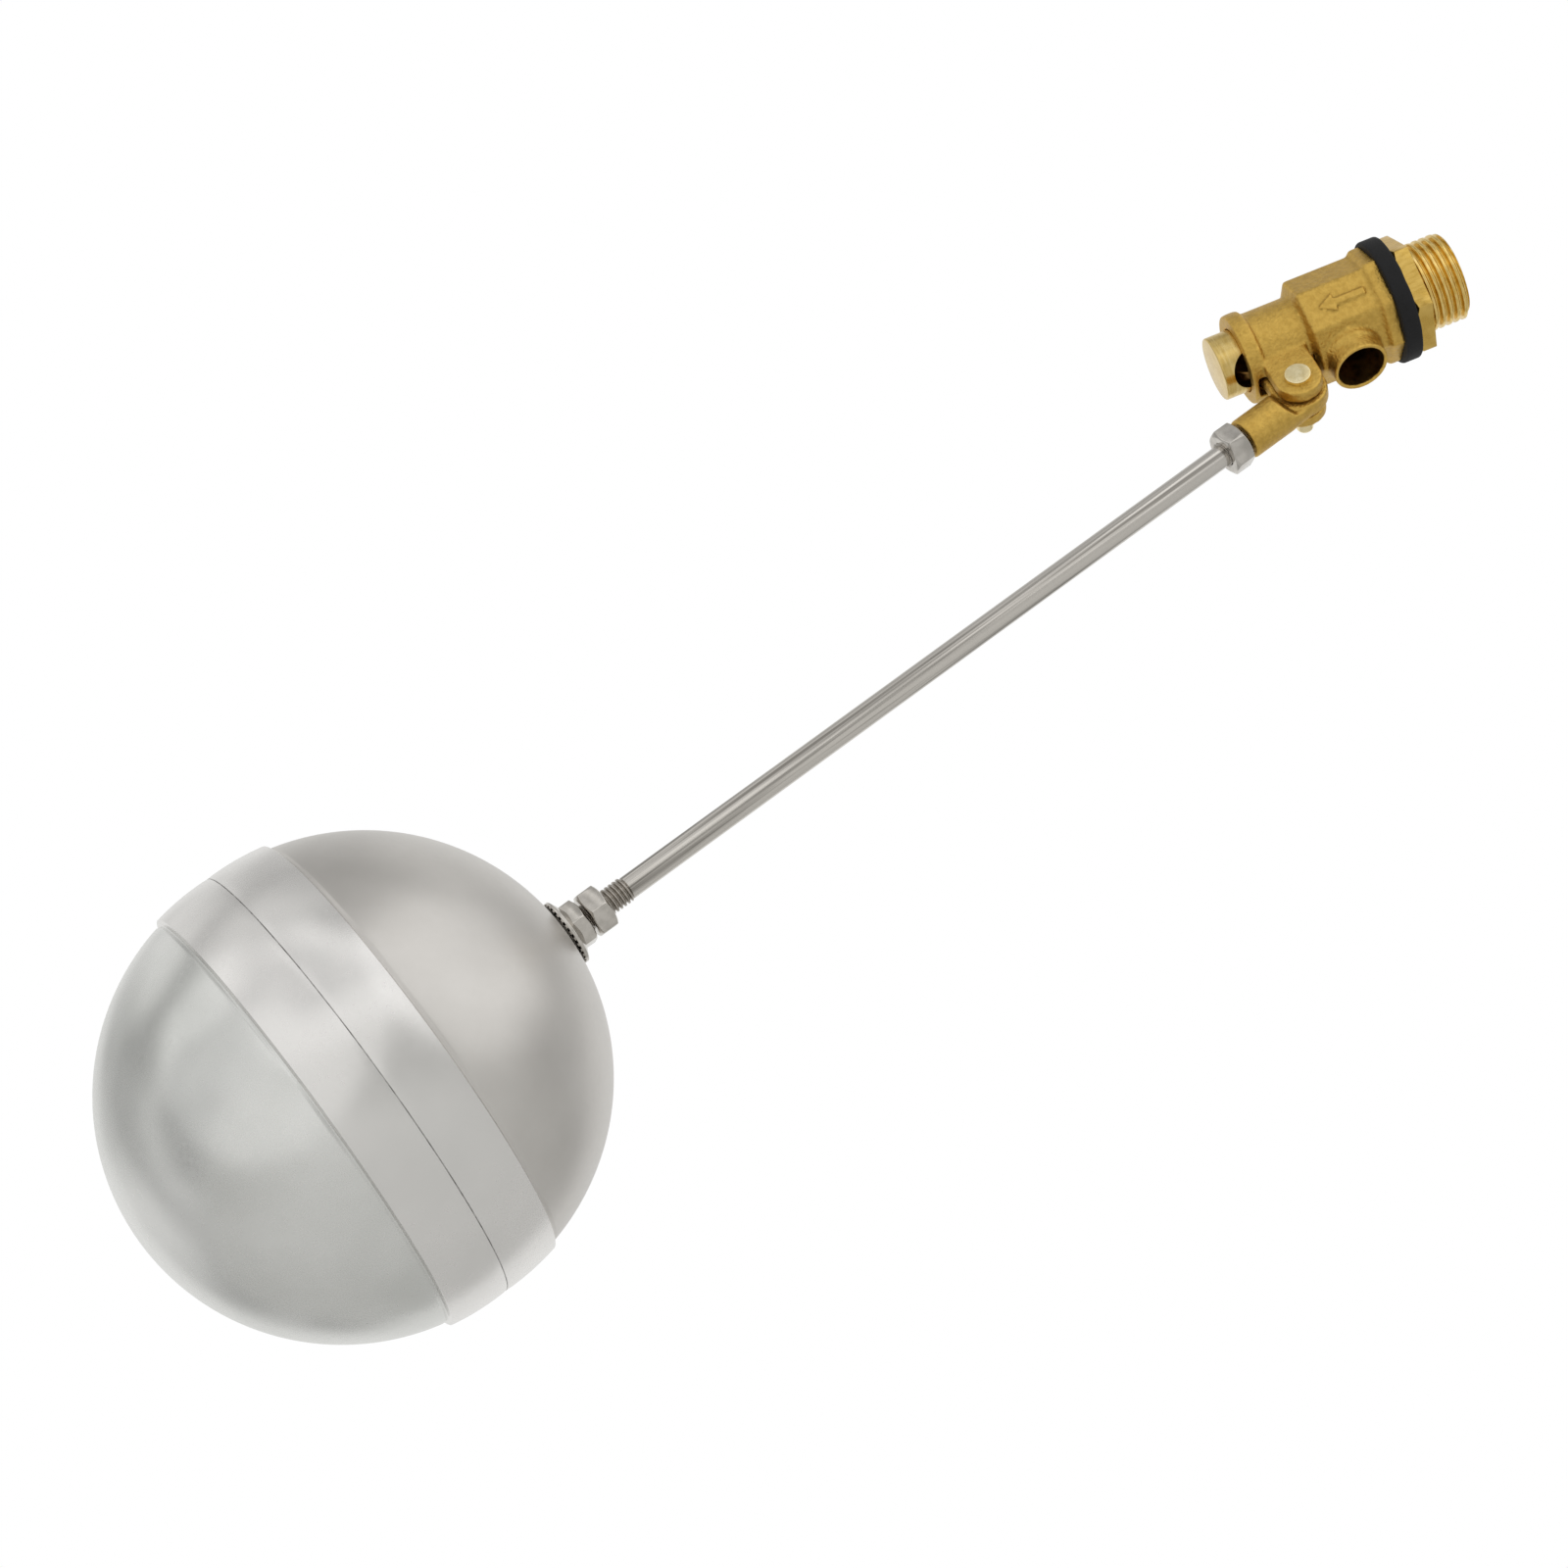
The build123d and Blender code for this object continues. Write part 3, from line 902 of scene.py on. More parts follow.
def thread_tree() -> GeometryTree:
    """Builds the tree of a screw thread: a closed sleeve whose outside is a right-hand helix.

    Returns:
        The tree. Its rows run along the outside, then back along the inner radius.
    """
    tree = GeometryTree("screw_thread", THREAD_SHARP_DEGREES)
    crest = tree.named("Crest")
    root = tree.named("Root")
    inner = tree.named("Inner")
    pitch = tree.named("Pitch")
    start = tree.named("Start")
    end = tree.named("End")
    lead = tree.named("Lead")
    around = tree.named("Around", "NodeSocketInt")
    rows = tree.named("Rows", "NodeSocketInt")
    grid = tree.add("GeometryNodeMeshGrid")
    grid.inputs["Size X"].default_value = 1.0
    grid.inputs["Size Y"].default_value = 1.0
    tree.feed(grid.inputs["Vertices X"], around)
    tree.feed(grid.inputs["Vertices Y"], rows)
    place = tree.add("ShaderNodeSeparateXYZ")
    tree.feed(place.inputs["Vector"], tree.add("GeometryNodeInputPosition").outputs["Position"])
    turn = tree.math("ADD", place.outputs["X"], 0.5)
    last = tree.math("SUBTRACT", rows, 1.0)
    row = tree.math("ROUND", tree.math("MULTIPLY", tree.math("ADD", place.outputs["Y"], 0.5), last))
    share = tree.math("DIVIDE", tree.math("SUBTRACT", row, 1.0), tree.math("SUBTRACT", last, 3.0))
    share = tree.math("MINIMUM", tree.math("MAXIMUM", share, 0.0), 1.0)
    returning = tree.math("GREATER_THAN", row, tree.math("SUBTRACT", last, 0.5))
    share = tree.math("MULTIPLY", share, tree.math("SUBTRACT", 1.0, returning))
    along = tree.math("MULTIPLY_ADD", share, tree.math("SUBTRACT", end, start), start)
    phase = tree.math("FRACT", tree.math("SUBTRACT", tree.math("DIVIDE", along, pitch), turn))
    flank = tree.math("SUBTRACT", 1.0, tree.math("ABSOLUTE", tree.math("MULTIPLY_ADD", phase, 2.0, -1.0)))
    shape = tree.add("ShaderNodeMapRange", interpolation_type="SMOOTHSTEP")
    tree.feed(shape.inputs["Value"], flank)
    shape.inputs["From Min"].default_value = THREAD_VALLEY
    shape.inputs["From Max"].default_value = THREAD_CREST
    radius = tree.math("MULTIPLY_ADD", shape.outputs["Result"], tree.math("SUBTRACT", crest, root), root)
    for gap in (tree.math("SUBTRACT", end, along), tree.math("SUBTRACT", along, start)):
        radius = tree.math("MINIMUM", radius, tree.math("ADD", lead, gap))
    inside = tree.math("LESS_THAN", row, 0.5)
    inside = tree.math("MAXIMUM", inside, tree.math("GREATER_THAN", row, tree.math("SUBTRACT", last, 1.5)))
    radius = tree.math("MULTIPLY_ADD", inside, tree.math("SUBTRACT", inner, radius), radius)
    angle = tree.math("MULTIPLY", turn, 2 * math.pi)
    spot = tree.add("ShaderNodeCombineXYZ")
    tree.feed(spot.inputs["X"], along)
    tree.feed(spot.inputs["Y"], tree.math("MULTIPLY", radius, tree.math("COSINE", angle)))
    tree.feed(spot.inputs["Z"], tree.math("MULTIPLY", radius, tree.math("SINE", angle)))
    move = tree.add("GeometryNodeSetPosition")
    tree.feed(move.inputs["Geometry"], grid.outputs["Mesh"])
    tree.feed(move.inputs["Position"], spot.outputs["Vector"])
    weld = tree.add("GeometryNodeMergeByDistance")
    tree.feed(weld.inputs["Geometry"], move.outputs["Geometry"])
    weld.inputs["Distance"].default_value = WELD_DISTANCE
    tree.close(weld.outputs["Geometry"])
    return tree


def serration_tree() -> GeometryTree:
    """Builds the tree of a ring of locking teeth.

    Returns:
        The tree.
    """
    tree = GeometryTree("locking_teeth", TREE_SHARP_DEGREES)
    count = tree.named("Count", "NodeSocketInt")
    radius = tree.named("Radius")
    length = tree.named("Length")
    width = tree.named("Width")
    height = tree.named("Height")
    offset = tree.named("Offset")
    ring = tree.add("GeometryNodeMeshCircle")
    tree.feed(ring.inputs["Vertices"], count)
    tree.feed(ring.inputs["Radius"], radius)
    tooth = tree.add("GeometryNodeMeshCube")
    size = tree.add("ShaderNodeCombineXYZ")
    tree.feed(size.inputs["X"], length)
    tree.feed(size.inputs["Y"], width)
    tree.feed(size.inputs["Z"], height)
    tree.feed(tooth.inputs["Size"], size.outputs["Vector"])
    aim = tree.add("FunctionNodeAlignRotationToVector", axis="X")
    tree.feed(aim.inputs["Vector"], tree.add("GeometryNodeInputPosition").outputs["Position"])
    spread = tree.add("GeometryNodeInstanceOnPoints")
    tree.feed(spread.inputs["Points"], ring.outputs["Mesh"])
    tree.feed(spread.inputs["Instance"], tooth.outputs["Mesh"])
    tree.feed(spread.inputs["Rotation"], aim.outputs["Rotation"])
    lift = tree.add("ShaderNodeCombineXYZ")
    tree.feed(lift.inputs["Z"], offset)
    shift = tree.add("GeometryNodeTransform")
    tree.feed(shift.inputs["Geometry"], spread.outputs["Instances"])
    tree.feed(shift.inputs["Translation"], lift.outputs["Vector"])
    tree.close(shift.outputs["Geometry"])
    return tree


def bead_tree() -> GeometryTree:
    """Builds the tree of a rippled weld bead round a circle.

    Returns:
        The tree.
    """
    tree = GeometryTree("weld_bead", TREE_SHARP_DEGREES)
    radius = tree.named("Radius")
    thickness = tree.named("Thickness")
    ripple = tree.named("Ripple")
    ripples = tree.named("Ripples")
    steps = tree.named("Steps", "NodeSocketInt")
    circle = tree.add("GeometryNodeCurvePrimitiveCircle")
    tree.feed(circle.inputs["Resolution"], steps)
    tree.feed(circle.inputs["Radius"], radius)
    turn = tree.math("DIVIDE", tree.add("GeometryNodeInputIndex").outputs["Index"], steps)
    wave = tree.math("SINE", tree.math("MULTIPLY", turn, tree.math("MULTIPLY", ripples, 2 * math.pi)))
    swell = tree.math("MULTIPLY_ADD", wave, ripple, 1.0)
    bead = tree.add("GeometryNodeCurvePrimitiveCircle")
    bead.inputs["Resolution"].default_value = BEAD_SIDES
    tree.feed(bead.inputs["Radius"], thickness)
    sweep = tree.add("GeometryNodeCurveToMesh")
    tree.feed(sweep.inputs["Curve"], circle.outputs["Curve"])
    tree.feed(sweep.inputs["Profile Curve"], bead.outputs["Curve"])
    tree.feed(sweep.inputs["Scale"], swell)
    tree.close(sweep.outputs["Mesh"])
    return tree


# ---------------------------------------------------------------- nuts


@dataclass
class HexNut:
    """A hexagonal nut on its own X axis."""

    name: str
    start: float
    end: float
    flats: float
    bore: float
    chamfer_start: bool = True
    chamfer_end: bool = True
    countersink: float = 0.5
    face_share: float = 0.94
    slope: float = 30.0
    corner_share: float = 0.988
    steps: int = 144
    turn: float = 0.0
    edge: float = 0.13
    edge_steps: int = 2
    edge_degrees: float = 26.0

    def side_radius(self, angle: float) -> float:
        """Works out the hexagon's radius, its corners slightly turned down.

        Args:
            angle: The angle from a flat, in radians.

        Returns:
            The radius.
        """
        sixth = math.radians(60)
        half = self.flats / 2
        within = (angle + sixth / 2) % sixth - sixth / 2
        return min(half / math.cos(within), self.corner_share * half / math.cos(sixth / 2))

    def section(self, angle: float) -> list[Point]:
        """Draws the nut's closed section.

        Args:
            angle: The angle from a flat, in radians.

        Returns:
            The section's points as (x, r).
        """
        radius = self.side_radius(angle)
        face = min(self.face_share * self.flats / 2, radius)
        drop = max(0.0, radius - face) * math.tan(math.radians(self.slope))
        drop_start = drop if self.chamfer_start else 0.0
        drop_end = drop if self.chamfer_end else 0.0
        return [
            (self.start + self.countersink, self.bore),
            (self.start, self.bore + self.countersink),
            (self.start, face),
            (self.start + drop_start, radius),
            (self.end - drop_end, radius),
            (self.end, face),
            (self.end, self.bore + self.countersink),
            (self.end - self.countersink, self.bore),
        ]

    def build(self, matrix: Matrix) -> bpy.types.Object:
        """Makes the nut.

        Args:
            matrix: The frame that it is placed in.

        Returns:
            The piece.
        """
        bm = bmesh.new()
        rings: list[list] = []
        for step in range(self.steps):
            angle = 2 * math.pi * step / self.steps
            placed = angle + math.radians(self.turn)
            ring = []
            for x, r in self.section(angle):
                ring.append(bm.verts.new((x * MM, r * MM * math.cos(placed), r * MM * math.sin(placed))))
            rings.append(ring)
        for first, second in zip(rings, rings[1:] + rings[:1]):
            bridge(bm, first, second, len(first))
        bmesh.ops.transform(bm, matrix=matrix, verts=bm.verts)
        piece = new_object(self.name, mesh_from(bm, self.name))
        bevel(piece, self.edge, self.edge_steps, self.edge_degrees)
        return piece


# ---------------------------------------------------------------- the inlet


@dataclass
class Inlet:
    """Inlet thread, rubber washer and back-nut."""

    crest: float = 10.4775
    depth: float = 1.16
    pitch: float = 1.814
    thread_start: float = 7.9
    end: float = 18.0
    lead_in: float = 9.75
    sleeve: float = 9.0
    washer_r: float = 14.8
    washer_end: float = 4.2
    washer_gap: float = 0.02
    washer_edge: float = 0.5
    washer_nut_edge: float = 0.6
    washer_steps: int = 240
    wave_start: float = 11.5
    wave_depth: float = 0.042
    rim_wave_depth: float = 0.1
    dent_depth: float = 0.16
    dent_angle: float = 3.67
    dent_width: float = 0.12
    bulge: float = 0.12
    nut_end: float = 8.05
    nut_flats: float = 24.8
    seat_r: float = 10.35
    rows_per_turn: int = 18
    around: int = 193

    def build(self, threads: GeometryTree) -> None:
        """Makes and dresses the inlet's pieces.

        Args:
            threads: The tree of a screw thread.
        """
        rows = int((self.end - self.thread_start) / self.pitch * self.rows_per_turn)
        thread = threads.make(
            "inlet_thread", ON_BODY, THREAD_BRASS.material(), crest=self.crest * MM,
            root=(self.crest - self.depth) * MM, inner=self.sleeve * MM, pitch=self.pitch * MM,
            start=self.thread_start * MM, end=self.end * MM, lead=self.lead_in * MM,
            around=self.around, rows=rows,
        )
        dress(thread, THREAD_BRASS, Body.VALVE)
        dress(self.washer(), BLACK_RUBBER, Body.VALVE, ["sealing_washer"])
        nut = HexNut(
            "back_nut", self.washer_end, self.nut_end, self.nut_flats, self.seat_r, chamfer_end=False,
            countersink=0.3, face_share=1.06, turn=90.0, edge=0.12, corner_share=0.995,
        )
        dress(nut.build(ON_BODY), NUT_BRASS, Body.VALVE, ["inlet_lock_nut"])

    def washer(self) -> bpy.types.Object:
        """Makes the rubber washer, a little wavy where the nut squeezes it.

        Returns:
            The piece.
        """
        start = self.washer_gap
        end = self.washer_end - self.washer_gap
        outline = rounded(
            [
                (start, self.seat_r, 0),
                (start, self.washer_r, self.washer_edge),
                (end, self.washer_r, self.washer_nut_edge),
                (end, self.seat_r, 0),
            ],
            5,
        )
        return lathe("rubber_washer", outline, ON_BODY, self.washer_steps, closed=True, wobble=self.wave)

    def wave(self, x: float, r: float, angle: float) -> Point:
        """Presses the washer's rim in and out a little, with one dent at a corner of the nut.

        Args:
            x: Place along the body.
            r: Distance from the axis.
            angle: Angle round the ring, in radians.

        Returns:
            The moved (x, r).
        """
        share = max(0.0, (r - self.wave_start) / (self.washer_r - self.wave_start))
        swell = math.sin(3 * angle + 0.4) + 0.6 * math.sin(7 * angle + 1.9) + 0.4 * math.sin(13 * angle)
        dent = self.dent_depth * math.exp(-(((angle - self.dent_angle) / self.dent_width) ** 2))
        nut_side = 1.0 if x > self.washer_end / 2 else 0.0
        shift = share * nut_side * (self.wave_depth * swell - dent)
        rim_wave = share * self.rim_wave_depth * math.sin(5 * angle + 1.0)
        return (min(x + shift, self.washer_end + self.bulge), r + rim_wave)


# ---------------------------------------------------------------- the casting


@dataclass
class Casting:
    """Cast body with its soft edges and a raised flow arrow."""

    neck_start: float = 0.5
    neck_r: float = 9.3
    thread_r: float = 9.7
    voxel: float = 0.3
    passes: int = 10
    keep: float = 0.42
    arrow_centre: float = -10.6
    arrow_length: float = 11.5
    arrow_width: float = 4.4
    arrow_height: float = 0.62
    arrow_turn: float = 22.5
    flat_distance: float = 11.92
    ring_r: float = 7.15
    ring_top: float = -9.0
    ring_foot: float = -12.45
    ring_edge: float = 0.6
    ring_step: float = 0.5
    spout_x: float = -11.75
    spout_r: float = 6.5
    spout_end: float = -16.15
    spout_bore_r: float = 5.75
    chamber_r: float = 7.9
    collar_end: float = -35.5
    bore_edge_r: float = 8.3
    rim_height: float = 1.2
    face_margin: float = 0.3
    flange_face: float = -0.4
    pin_hole_edge: float = 2.6
    arrow_root: float = 1.0
    arrow_margin: float = 0.12

    def is_cast(self, spot: Vector) -> bool:
        """Tells the rough cast skin from the machined faces.

        Args:
            spot: A point in millimetres.

        Returns:
            Whether the point is on the cast skin.
        """
        from_axis = math.hypot(spot.y, spot.z)
        in_bore = from_axis < self.bore_edge_r and spot.z > -self.bore_edge_r
        near_spout = abs(spot.x - self.spout_x) < self.spout_r + 1
        rim = near_spout and spot.z < self.spout_end + self.rim_height
        turn = math.radians(self.arrow_turn)
        above_flat = -spot.y * math.cos(turn) - spot.z * math.sin(turn) - self.flat_distance
        near_arrow = abs(spot.x - self.arrow_centre) < self.arrow_length / 2 + self.face_margin
        arrow = near_arrow and above_flat > self.arrow_margin
        inlet = spot.x > self.flange_face
        collar_face = spot.x < self.collar_end + self.face_margin
        pin_hole = math.hypot(spot.x - ARM.pin_x, spot.z - ARM.pin_z) < self.pin_hole_edge
        return not (in_bore or rim or arrow or inlet or collar_face or pin_hole)

    def in_bore(self, spot: Vector) -> bool:
        """Tells the bores' walls from the rest.

        Args:
            spot: A point in millimetres.

        Returns:
            Whether the point is on a bore's wall.
        """
        from_axis = math.hypot(spot.y, spot.z)
        from_spout = math.hypot(spot.x - self.spout_x, spot.y)
        chamber = from_axis < self.chamber_r and spot.x > self.collar_end + self.face_margin
        spout = from_spout < self.spout_bore_r and spot.z > self.spout_end + self.face_margin
        return (chamber and spot.z > -self.chamber_r) or (spout and spot.z < 0)

    def arrow(self) -> bpy.types.Object:
        """Makes the raised arrow, a flat plate that stands on one flat of the octagon.

        Returns:
            The arrow.
        """
        half_l = self.arrow_length / 2
        half_w = self.arrow_width / 2
        shaft = self.arrow_width * 0.2
        neck = -half_l + self.arrow_width * 0.9
        outline = [
            (half_l, -shaft),
            (half_l, shaft),
            (neck, shaft),
            (neck, half_w),
            (-half_l, 0),
            (neck, -half_w),
            (neck, -shaft),
        ]
        bm = bmesh.new()
        low = self.flat_distance - self.arrow_root
        bottom = [bm.verts.new(((x + self.arrow_centre) * MM, -low * MM, z * MM)) for x, z in outline]
        face = bm.faces.new(bottom)
        grown = bmesh.ops.extrude_face_region(bm, geom=[face])
        lifted = [item for item in grown["geom"] if isinstance(item, bmesh.types.BMVert)]
        bmesh.ops.translate(bm, vec=(0, -(self.arrow_root + self.arrow_height) * MM, 0), verts=lifted)
        turn = Matrix.Rotation(math.radians(self.arrow_turn), 4, "X")
        bmesh.ops.transform(bm, matrix=turn, verts=bm.verts)
        return new_object("flow_arrow", mesh_from(bm, "flow_arrow"))

    def root_ring(self) -> bpy.types.Object:
        """Makes the thicker ring where the spout leaves the body.

        Returns:
            The ring.
        """
        wall = self.spout_r - self.ring_edge
        outline = [
            (self.ring_foot, wall),
            (self.ring_foot, self.ring_r - self.ring_step),
            (self.ring_foot + self.ring_edge, self.ring_r),
            (self.ring_top, self.ring_r),
            (self.ring_top, wall),
        ]
        matrix = Matrix.Translation((self.spout_x * MM, 0, 0)) @ Matrix.Rotation(math.radians(-90), 4, "Y")
        return lathe("root_ring", outline, matrix, 96, closed=True)

    def build(self) -> None:
        """Makes and dresses the casting."""
        piece = merged_copy("valve_body", "valve_casting")
        for vert in piece.data.vertices:
            spot = vert.co / MM
            radius = math.hypot(spot.y, spot.z)
            if spot.x > self.neck_start and radius > self.thread_r:
                vert.co.y *= self.neck_r / radius
                vert.co.z *= self.neck_r / radius
        join_into(piece, [self.arrow(), self.root_ring()])
        soften(piece, self.voxel, self.passes, self.is_cast, self.keep)
        dress(piece, CAST_BRASS, Body.VALVE, ["valve_body"])
        # The bore walls are painted dark: painted shade, partly also dirt.
        refinish(piece, SHADE_AND_DIRT_BRASS, self.in_bore)


# ---------------------------------------------------------------- pin and piston


@dataclass
class PivotPin:
    """Headed pin through both ears."""

    head_start: float = -6.86
    head_r: float = 3.03
    ear_face: float = -5.75
    shank_r: float = 2.0
    tail: float = 12.0
    dome: float = 0.06
    dimple: float = 0.02
    dimple_r: float = 0.4
    tail_dome: float = 0.25

    def build(self) -> None:
        """Makes and dresses the pin."""
        outline = rounded(
            [
                (self.head_start + self.dimple, 0, 0),
                (self.head_start, self.dimple_r, 0),
                (self.head_start + self.dome, self.head_r, 0.22),
                (self.ear_face, self.head_r, 0.08),
                (self.ear_face, self.shank_r, 0),
                (self.tail - self.tail_dome, self.shank_r, 1.1),
                (self.tail, 0, 0),
            ],
            6,
        )
        pin = lathe("pivot_pin_turned", outline, ARM.pin_matrix(), 96)
        dress(pin, PALE_BRASS, Body.VALVE, ["pivot_pin"])


@dataclass
class Piston:
    """Sliding piston with its drive hole."""

    end: float = -41.1
    shoulder: float = -18.5
    radius: float = 7.5
    nose_r: float = 6.2
    nose_end: float = -14.6
    cup_r: float = 5.0
    cup_back: float = -17.2
    hole_x: float = -34.05
    hole_r: float = 4.7
    hole_turn: float = 20.0
    hole_sharp_degrees: float = 25.0
    margin: float = 0.2
    skin: float = 0.15

    def in_hole(self, spot: Vector) -> bool:
        """Tells the drive hole's wall from the turned outside.

        Args:
            spot: A point in millimetres.

        Returns:
            Whether the point is on the hole's wall.
        """
        near = abs(spot.x - self.hole_x) < self.hole_r + self.margin
        return near and math.hypot(spot.y, spot.z) < self.radius - self.skin

    def build(self) -> None:
        """Makes and dresses the piston and its rubber disc."""
        outline = rounded(
            [
                (self.end, 0, 0),
                (self.end, self.radius, 0.35),
                (self.shoulder, self.radius, 0.3),
                (self.shoulder, self.nose_r, 0.3),
                (self.nose_end, self.nose_r, 0.4),
                (self.nose_end, self.cup_r, 0.1),
                (self.cup_back, self.cup_r, 0),
                (self.cup_back, 0, 0),
            ],
            5,
        )
        piston = lathe("piston_turned", outline, ON_BODY, 192)
        reach = 3 * self.radius
        drill_frame = (
            Matrix.Translation((self.hole_x * MM, 0, 0))
            @ Matrix.Rotation(math.radians(-self.hole_turn), 4, "X")
            @ Matrix.Rotation(QUARTER_TURN, 4, "Y")
        )
        bar = [(-reach, 0), (-reach, self.hole_r), (reach, self.hole_r), (reach, 0)]
        drill = lathe("drill", bar, drill_frame, 128)
        cut = piston.modifiers.new("hole", "BOOLEAN")
        cut.operation = "DIFFERENCE"
        cut.solver = "EXACT"
        cut.object = drill
        apply_modifiers(piston)
        bpy.data.objects.remove(drill)
        smooth_shade(piston.data, self.hole_sharp_degrees)
        dress(piston, TURNED_BRASS, Body.PISTON, ["piston"])
        # The drive hole's wall is painted dark: painted shade, partly also dirt.
        refinish(piston, SHADE_AND_DIRT_BRASS, self.in_hole)
        dress_node("piston_seal_disc", BLACK_RUBBER)


# ---------------------------------------------------------------- the arm


@dataclass
class Lever:
    """Cast lever, softened, with its machined holes left true."""

    voxel: float = 0.22
    passes: int = 18
    keep: float = 0.6
    pin_hole: float = 2.5
    socket_r: float = 4.2
    socket_start: float = 7.5
    finger_root: float = -8.5
    finger_foot: float = -9.6

    def is_cast(self, spot: Vector) -> bool:
        """Tells the lever's cast skin from its machined holes and finger.

        Args:
            spot: A point in millimetres.

        Returns:
            Whether the point is on the cast skin.
        """
        if math.hypot(spot.x - ARM.pin_x, spot.z - ARM.pin_z) < self.pin_hole:
            return False
        local = ARM.matrix().inverted() @ (spot * MM) / MM
        in_socket = local.x > self.socket_start and math.hypot(local.y, local.z) < self.socket_r
        return not in_socket and spot.z < self.finger_root

    def build(self) -> None:
        """Makes and dresses the lever."""
        piece = merged_copy("lever", "lever_casting")
        soften(piece, self.voxel, self.passes, self.is_cast, self.keep)
        dress(piece, CAST_BRASS, Body.ARM, ["lever"])
        # The finger, which sits inside the piston's hole, is painted dark as shade.
        refinish(piece, SHADE_AND_DIRT_BRASS, lambda spot: spot.z > self.finger_foot)


@dataclass
class Rod:
    """Float rod with rolled threads, and the nuts on it."""

    crest: float = 2.98
    depth: float = 0.58
    pitch: float = 1.0
    shank_r: float = 2.675
    core_r: float = 2.2
    sleeve_depth: float = 0.2
    run_out: float = 0.5
    inner_start: float = 9.2
    shank_start: float = 24.3
    shank_end: float = 192.7
    end: float = 219.0
    nut_flats: float = 10.0
    nut_bore: float = 2.75
    nut_face: float = 0.92
    lever_nut: Point = (19.0, 24.1)
    ball_nut: Point = (198.7, 203.6)
    flange_hex: Point = (204.3, 208.4)
    flange_cone: float = 207.5
    flange_rim: float = 208.75
    flange_end: float = 209.45
    flange_r: float = 7.7
    flange_bore: float = 3.05
    cone_overlap: float = 0.5
    cone_top_r: float = 4.7
    cone_r: float = 5.3
    foot_height: float = 0.3
    foot_r: float = 5.2
    lever_nut_turn: float = 5.0
    ball_nut_turn: float = -6.0
    flange_nut_turn: float = 0.0
    teeth: int = 30
    teeth_r: float = 7.0
    tooth_length: float = 1.2
    tooth_width: float = 0.75
    tooth_height: float = 0.5
    tooth_sink: float = 0.05
    rows_per_turn: int = 14
    around: int = 97

    def build(self, threads: GeometryTree, teeth: GeometryTree) -> None:
        """Makes and dresses the rod and its nuts.

        Args:
            threads: The tree of a screw thread.
            teeth: The tree of a ring of locking teeth.
        """
        matrix = ARM.matrix()
        outline = rounded(
            [
                (self.inner_start, 0, 0),
                (self.inner_start, self.core_r, 0),
                (self.shank_start - self.run_out, self.core_r, 0),
                (self.shank_start, self.shank_r, 0.1),
                (self.shank_end, self.shank_r, 0.1),
                (self.shank_end + self.run_out, self.core_r, 0),
                (self.end, self.core_r, 0),
                (self.end, 0, 0),
            ],
            3,
        )
        rod = lathe("float_rod_drawn", outline, matrix, 96)
        # The rod's dark streaks are partly painted reflection.
        dress(rod, ROD_STEEL_STREAKS_AND_REFLECTION, Body.ARM, ["float_rod"])
        root = self.crest - self.depth
        for name, start, end in (
            ("rod_thread_lever_end", self.inner_start, self.shank_start),
            ("rod_thread_ball_end", self.shank_end, self.end),
        ):
            rows = int((end - start) / self.pitch * self.rows_per_turn)
            thread = threads.make(
                name, matrix, THREAD_STEEL.material(), crest=self.crest * MM, root=root * MM,
                inner=(self.core_r - self.sleeve_depth) * MM, pitch=self.pitch * MM, start=start * MM,
                end=end * MM, lead=root * MM, around=self.around, rows=rows,
            )
            dress(thread, THREAD_STEEL, Body.ARM)
        for name, (start, end), turn, node in (
            ("lever_nut", self.lever_nut, self.lever_nut_turn, "lever_lock_nut"),
            ("ball_nut", self.ball_nut, self.ball_nut_turn, "ball_lock_nut"),
        ):
            nut = HexNut(
                name, start, end, self.nut_flats, self.nut_bore, turn=turn, face_share=self.nut_face,
            )
            dress(nut.build(matrix), NUT_STEEL, Body.ARM, [node])
        self.flange_nut(matrix, teeth)

    def flange_nut(self, matrix: Matrix, teeth: GeometryTree) -> None:
        """Makes the nut that bears on the float, with its flange and teeth.

        Args:
            matrix: The arm's frame.
            teeth: The tree of a ring of locking teeth.
        """
        start, end = self.flange_hex
        nut = HexNut(
            "flange_nut_hex", start, end, self.nut_flats, self.nut_bore, chamfer_end=False,
            turn=self.flange_nut_turn, face_share=self.nut_face, countersink=0.4,
        )
        dress(nut.build(matrix), NUT_STEEL, Body.ARM, ["ball_flange_nut"])
        top = self.flange_cone - self.cone_overlap
        foot = self.flange_end + self.foot_height
        outline = rounded(
            [
                (top, self.flange_bore, 0),
                (top, self.cone_top_r, 0),
                (self.flange_cone, self.cone_r, 0.4),
                (self.flange_rim, self.flange_r, 0.25),
                (self.flange_end, self.flange_r - 0.1, 0.15),
                (foot, self.foot_r, 0),
                (foot, self.flange_bore, 0),
            ],
            4,
        )
        flange = lathe("flange_nut_rim", outline, matrix, 128, closed=True)
        dress(flange, NUT_STEEL, Body.ARM)
        upright = matrix @ Matrix.Rotation(QUARTER_TURN, 4, "Y")
        ring = teeth.make(
            "flange_nut_teeth", upright, THREAD_STEEL.material(), count=self.teeth,
            radius=self.teeth_r * MM, length=self.tooth_length * MM, width=self.tooth_width * MM,
            height=self.tooth_height * MM, offset=(self.flange_end + self.tooth_sink) * MM,
        )
        dress(ring, THREAD_STEEL, Body.ARM)


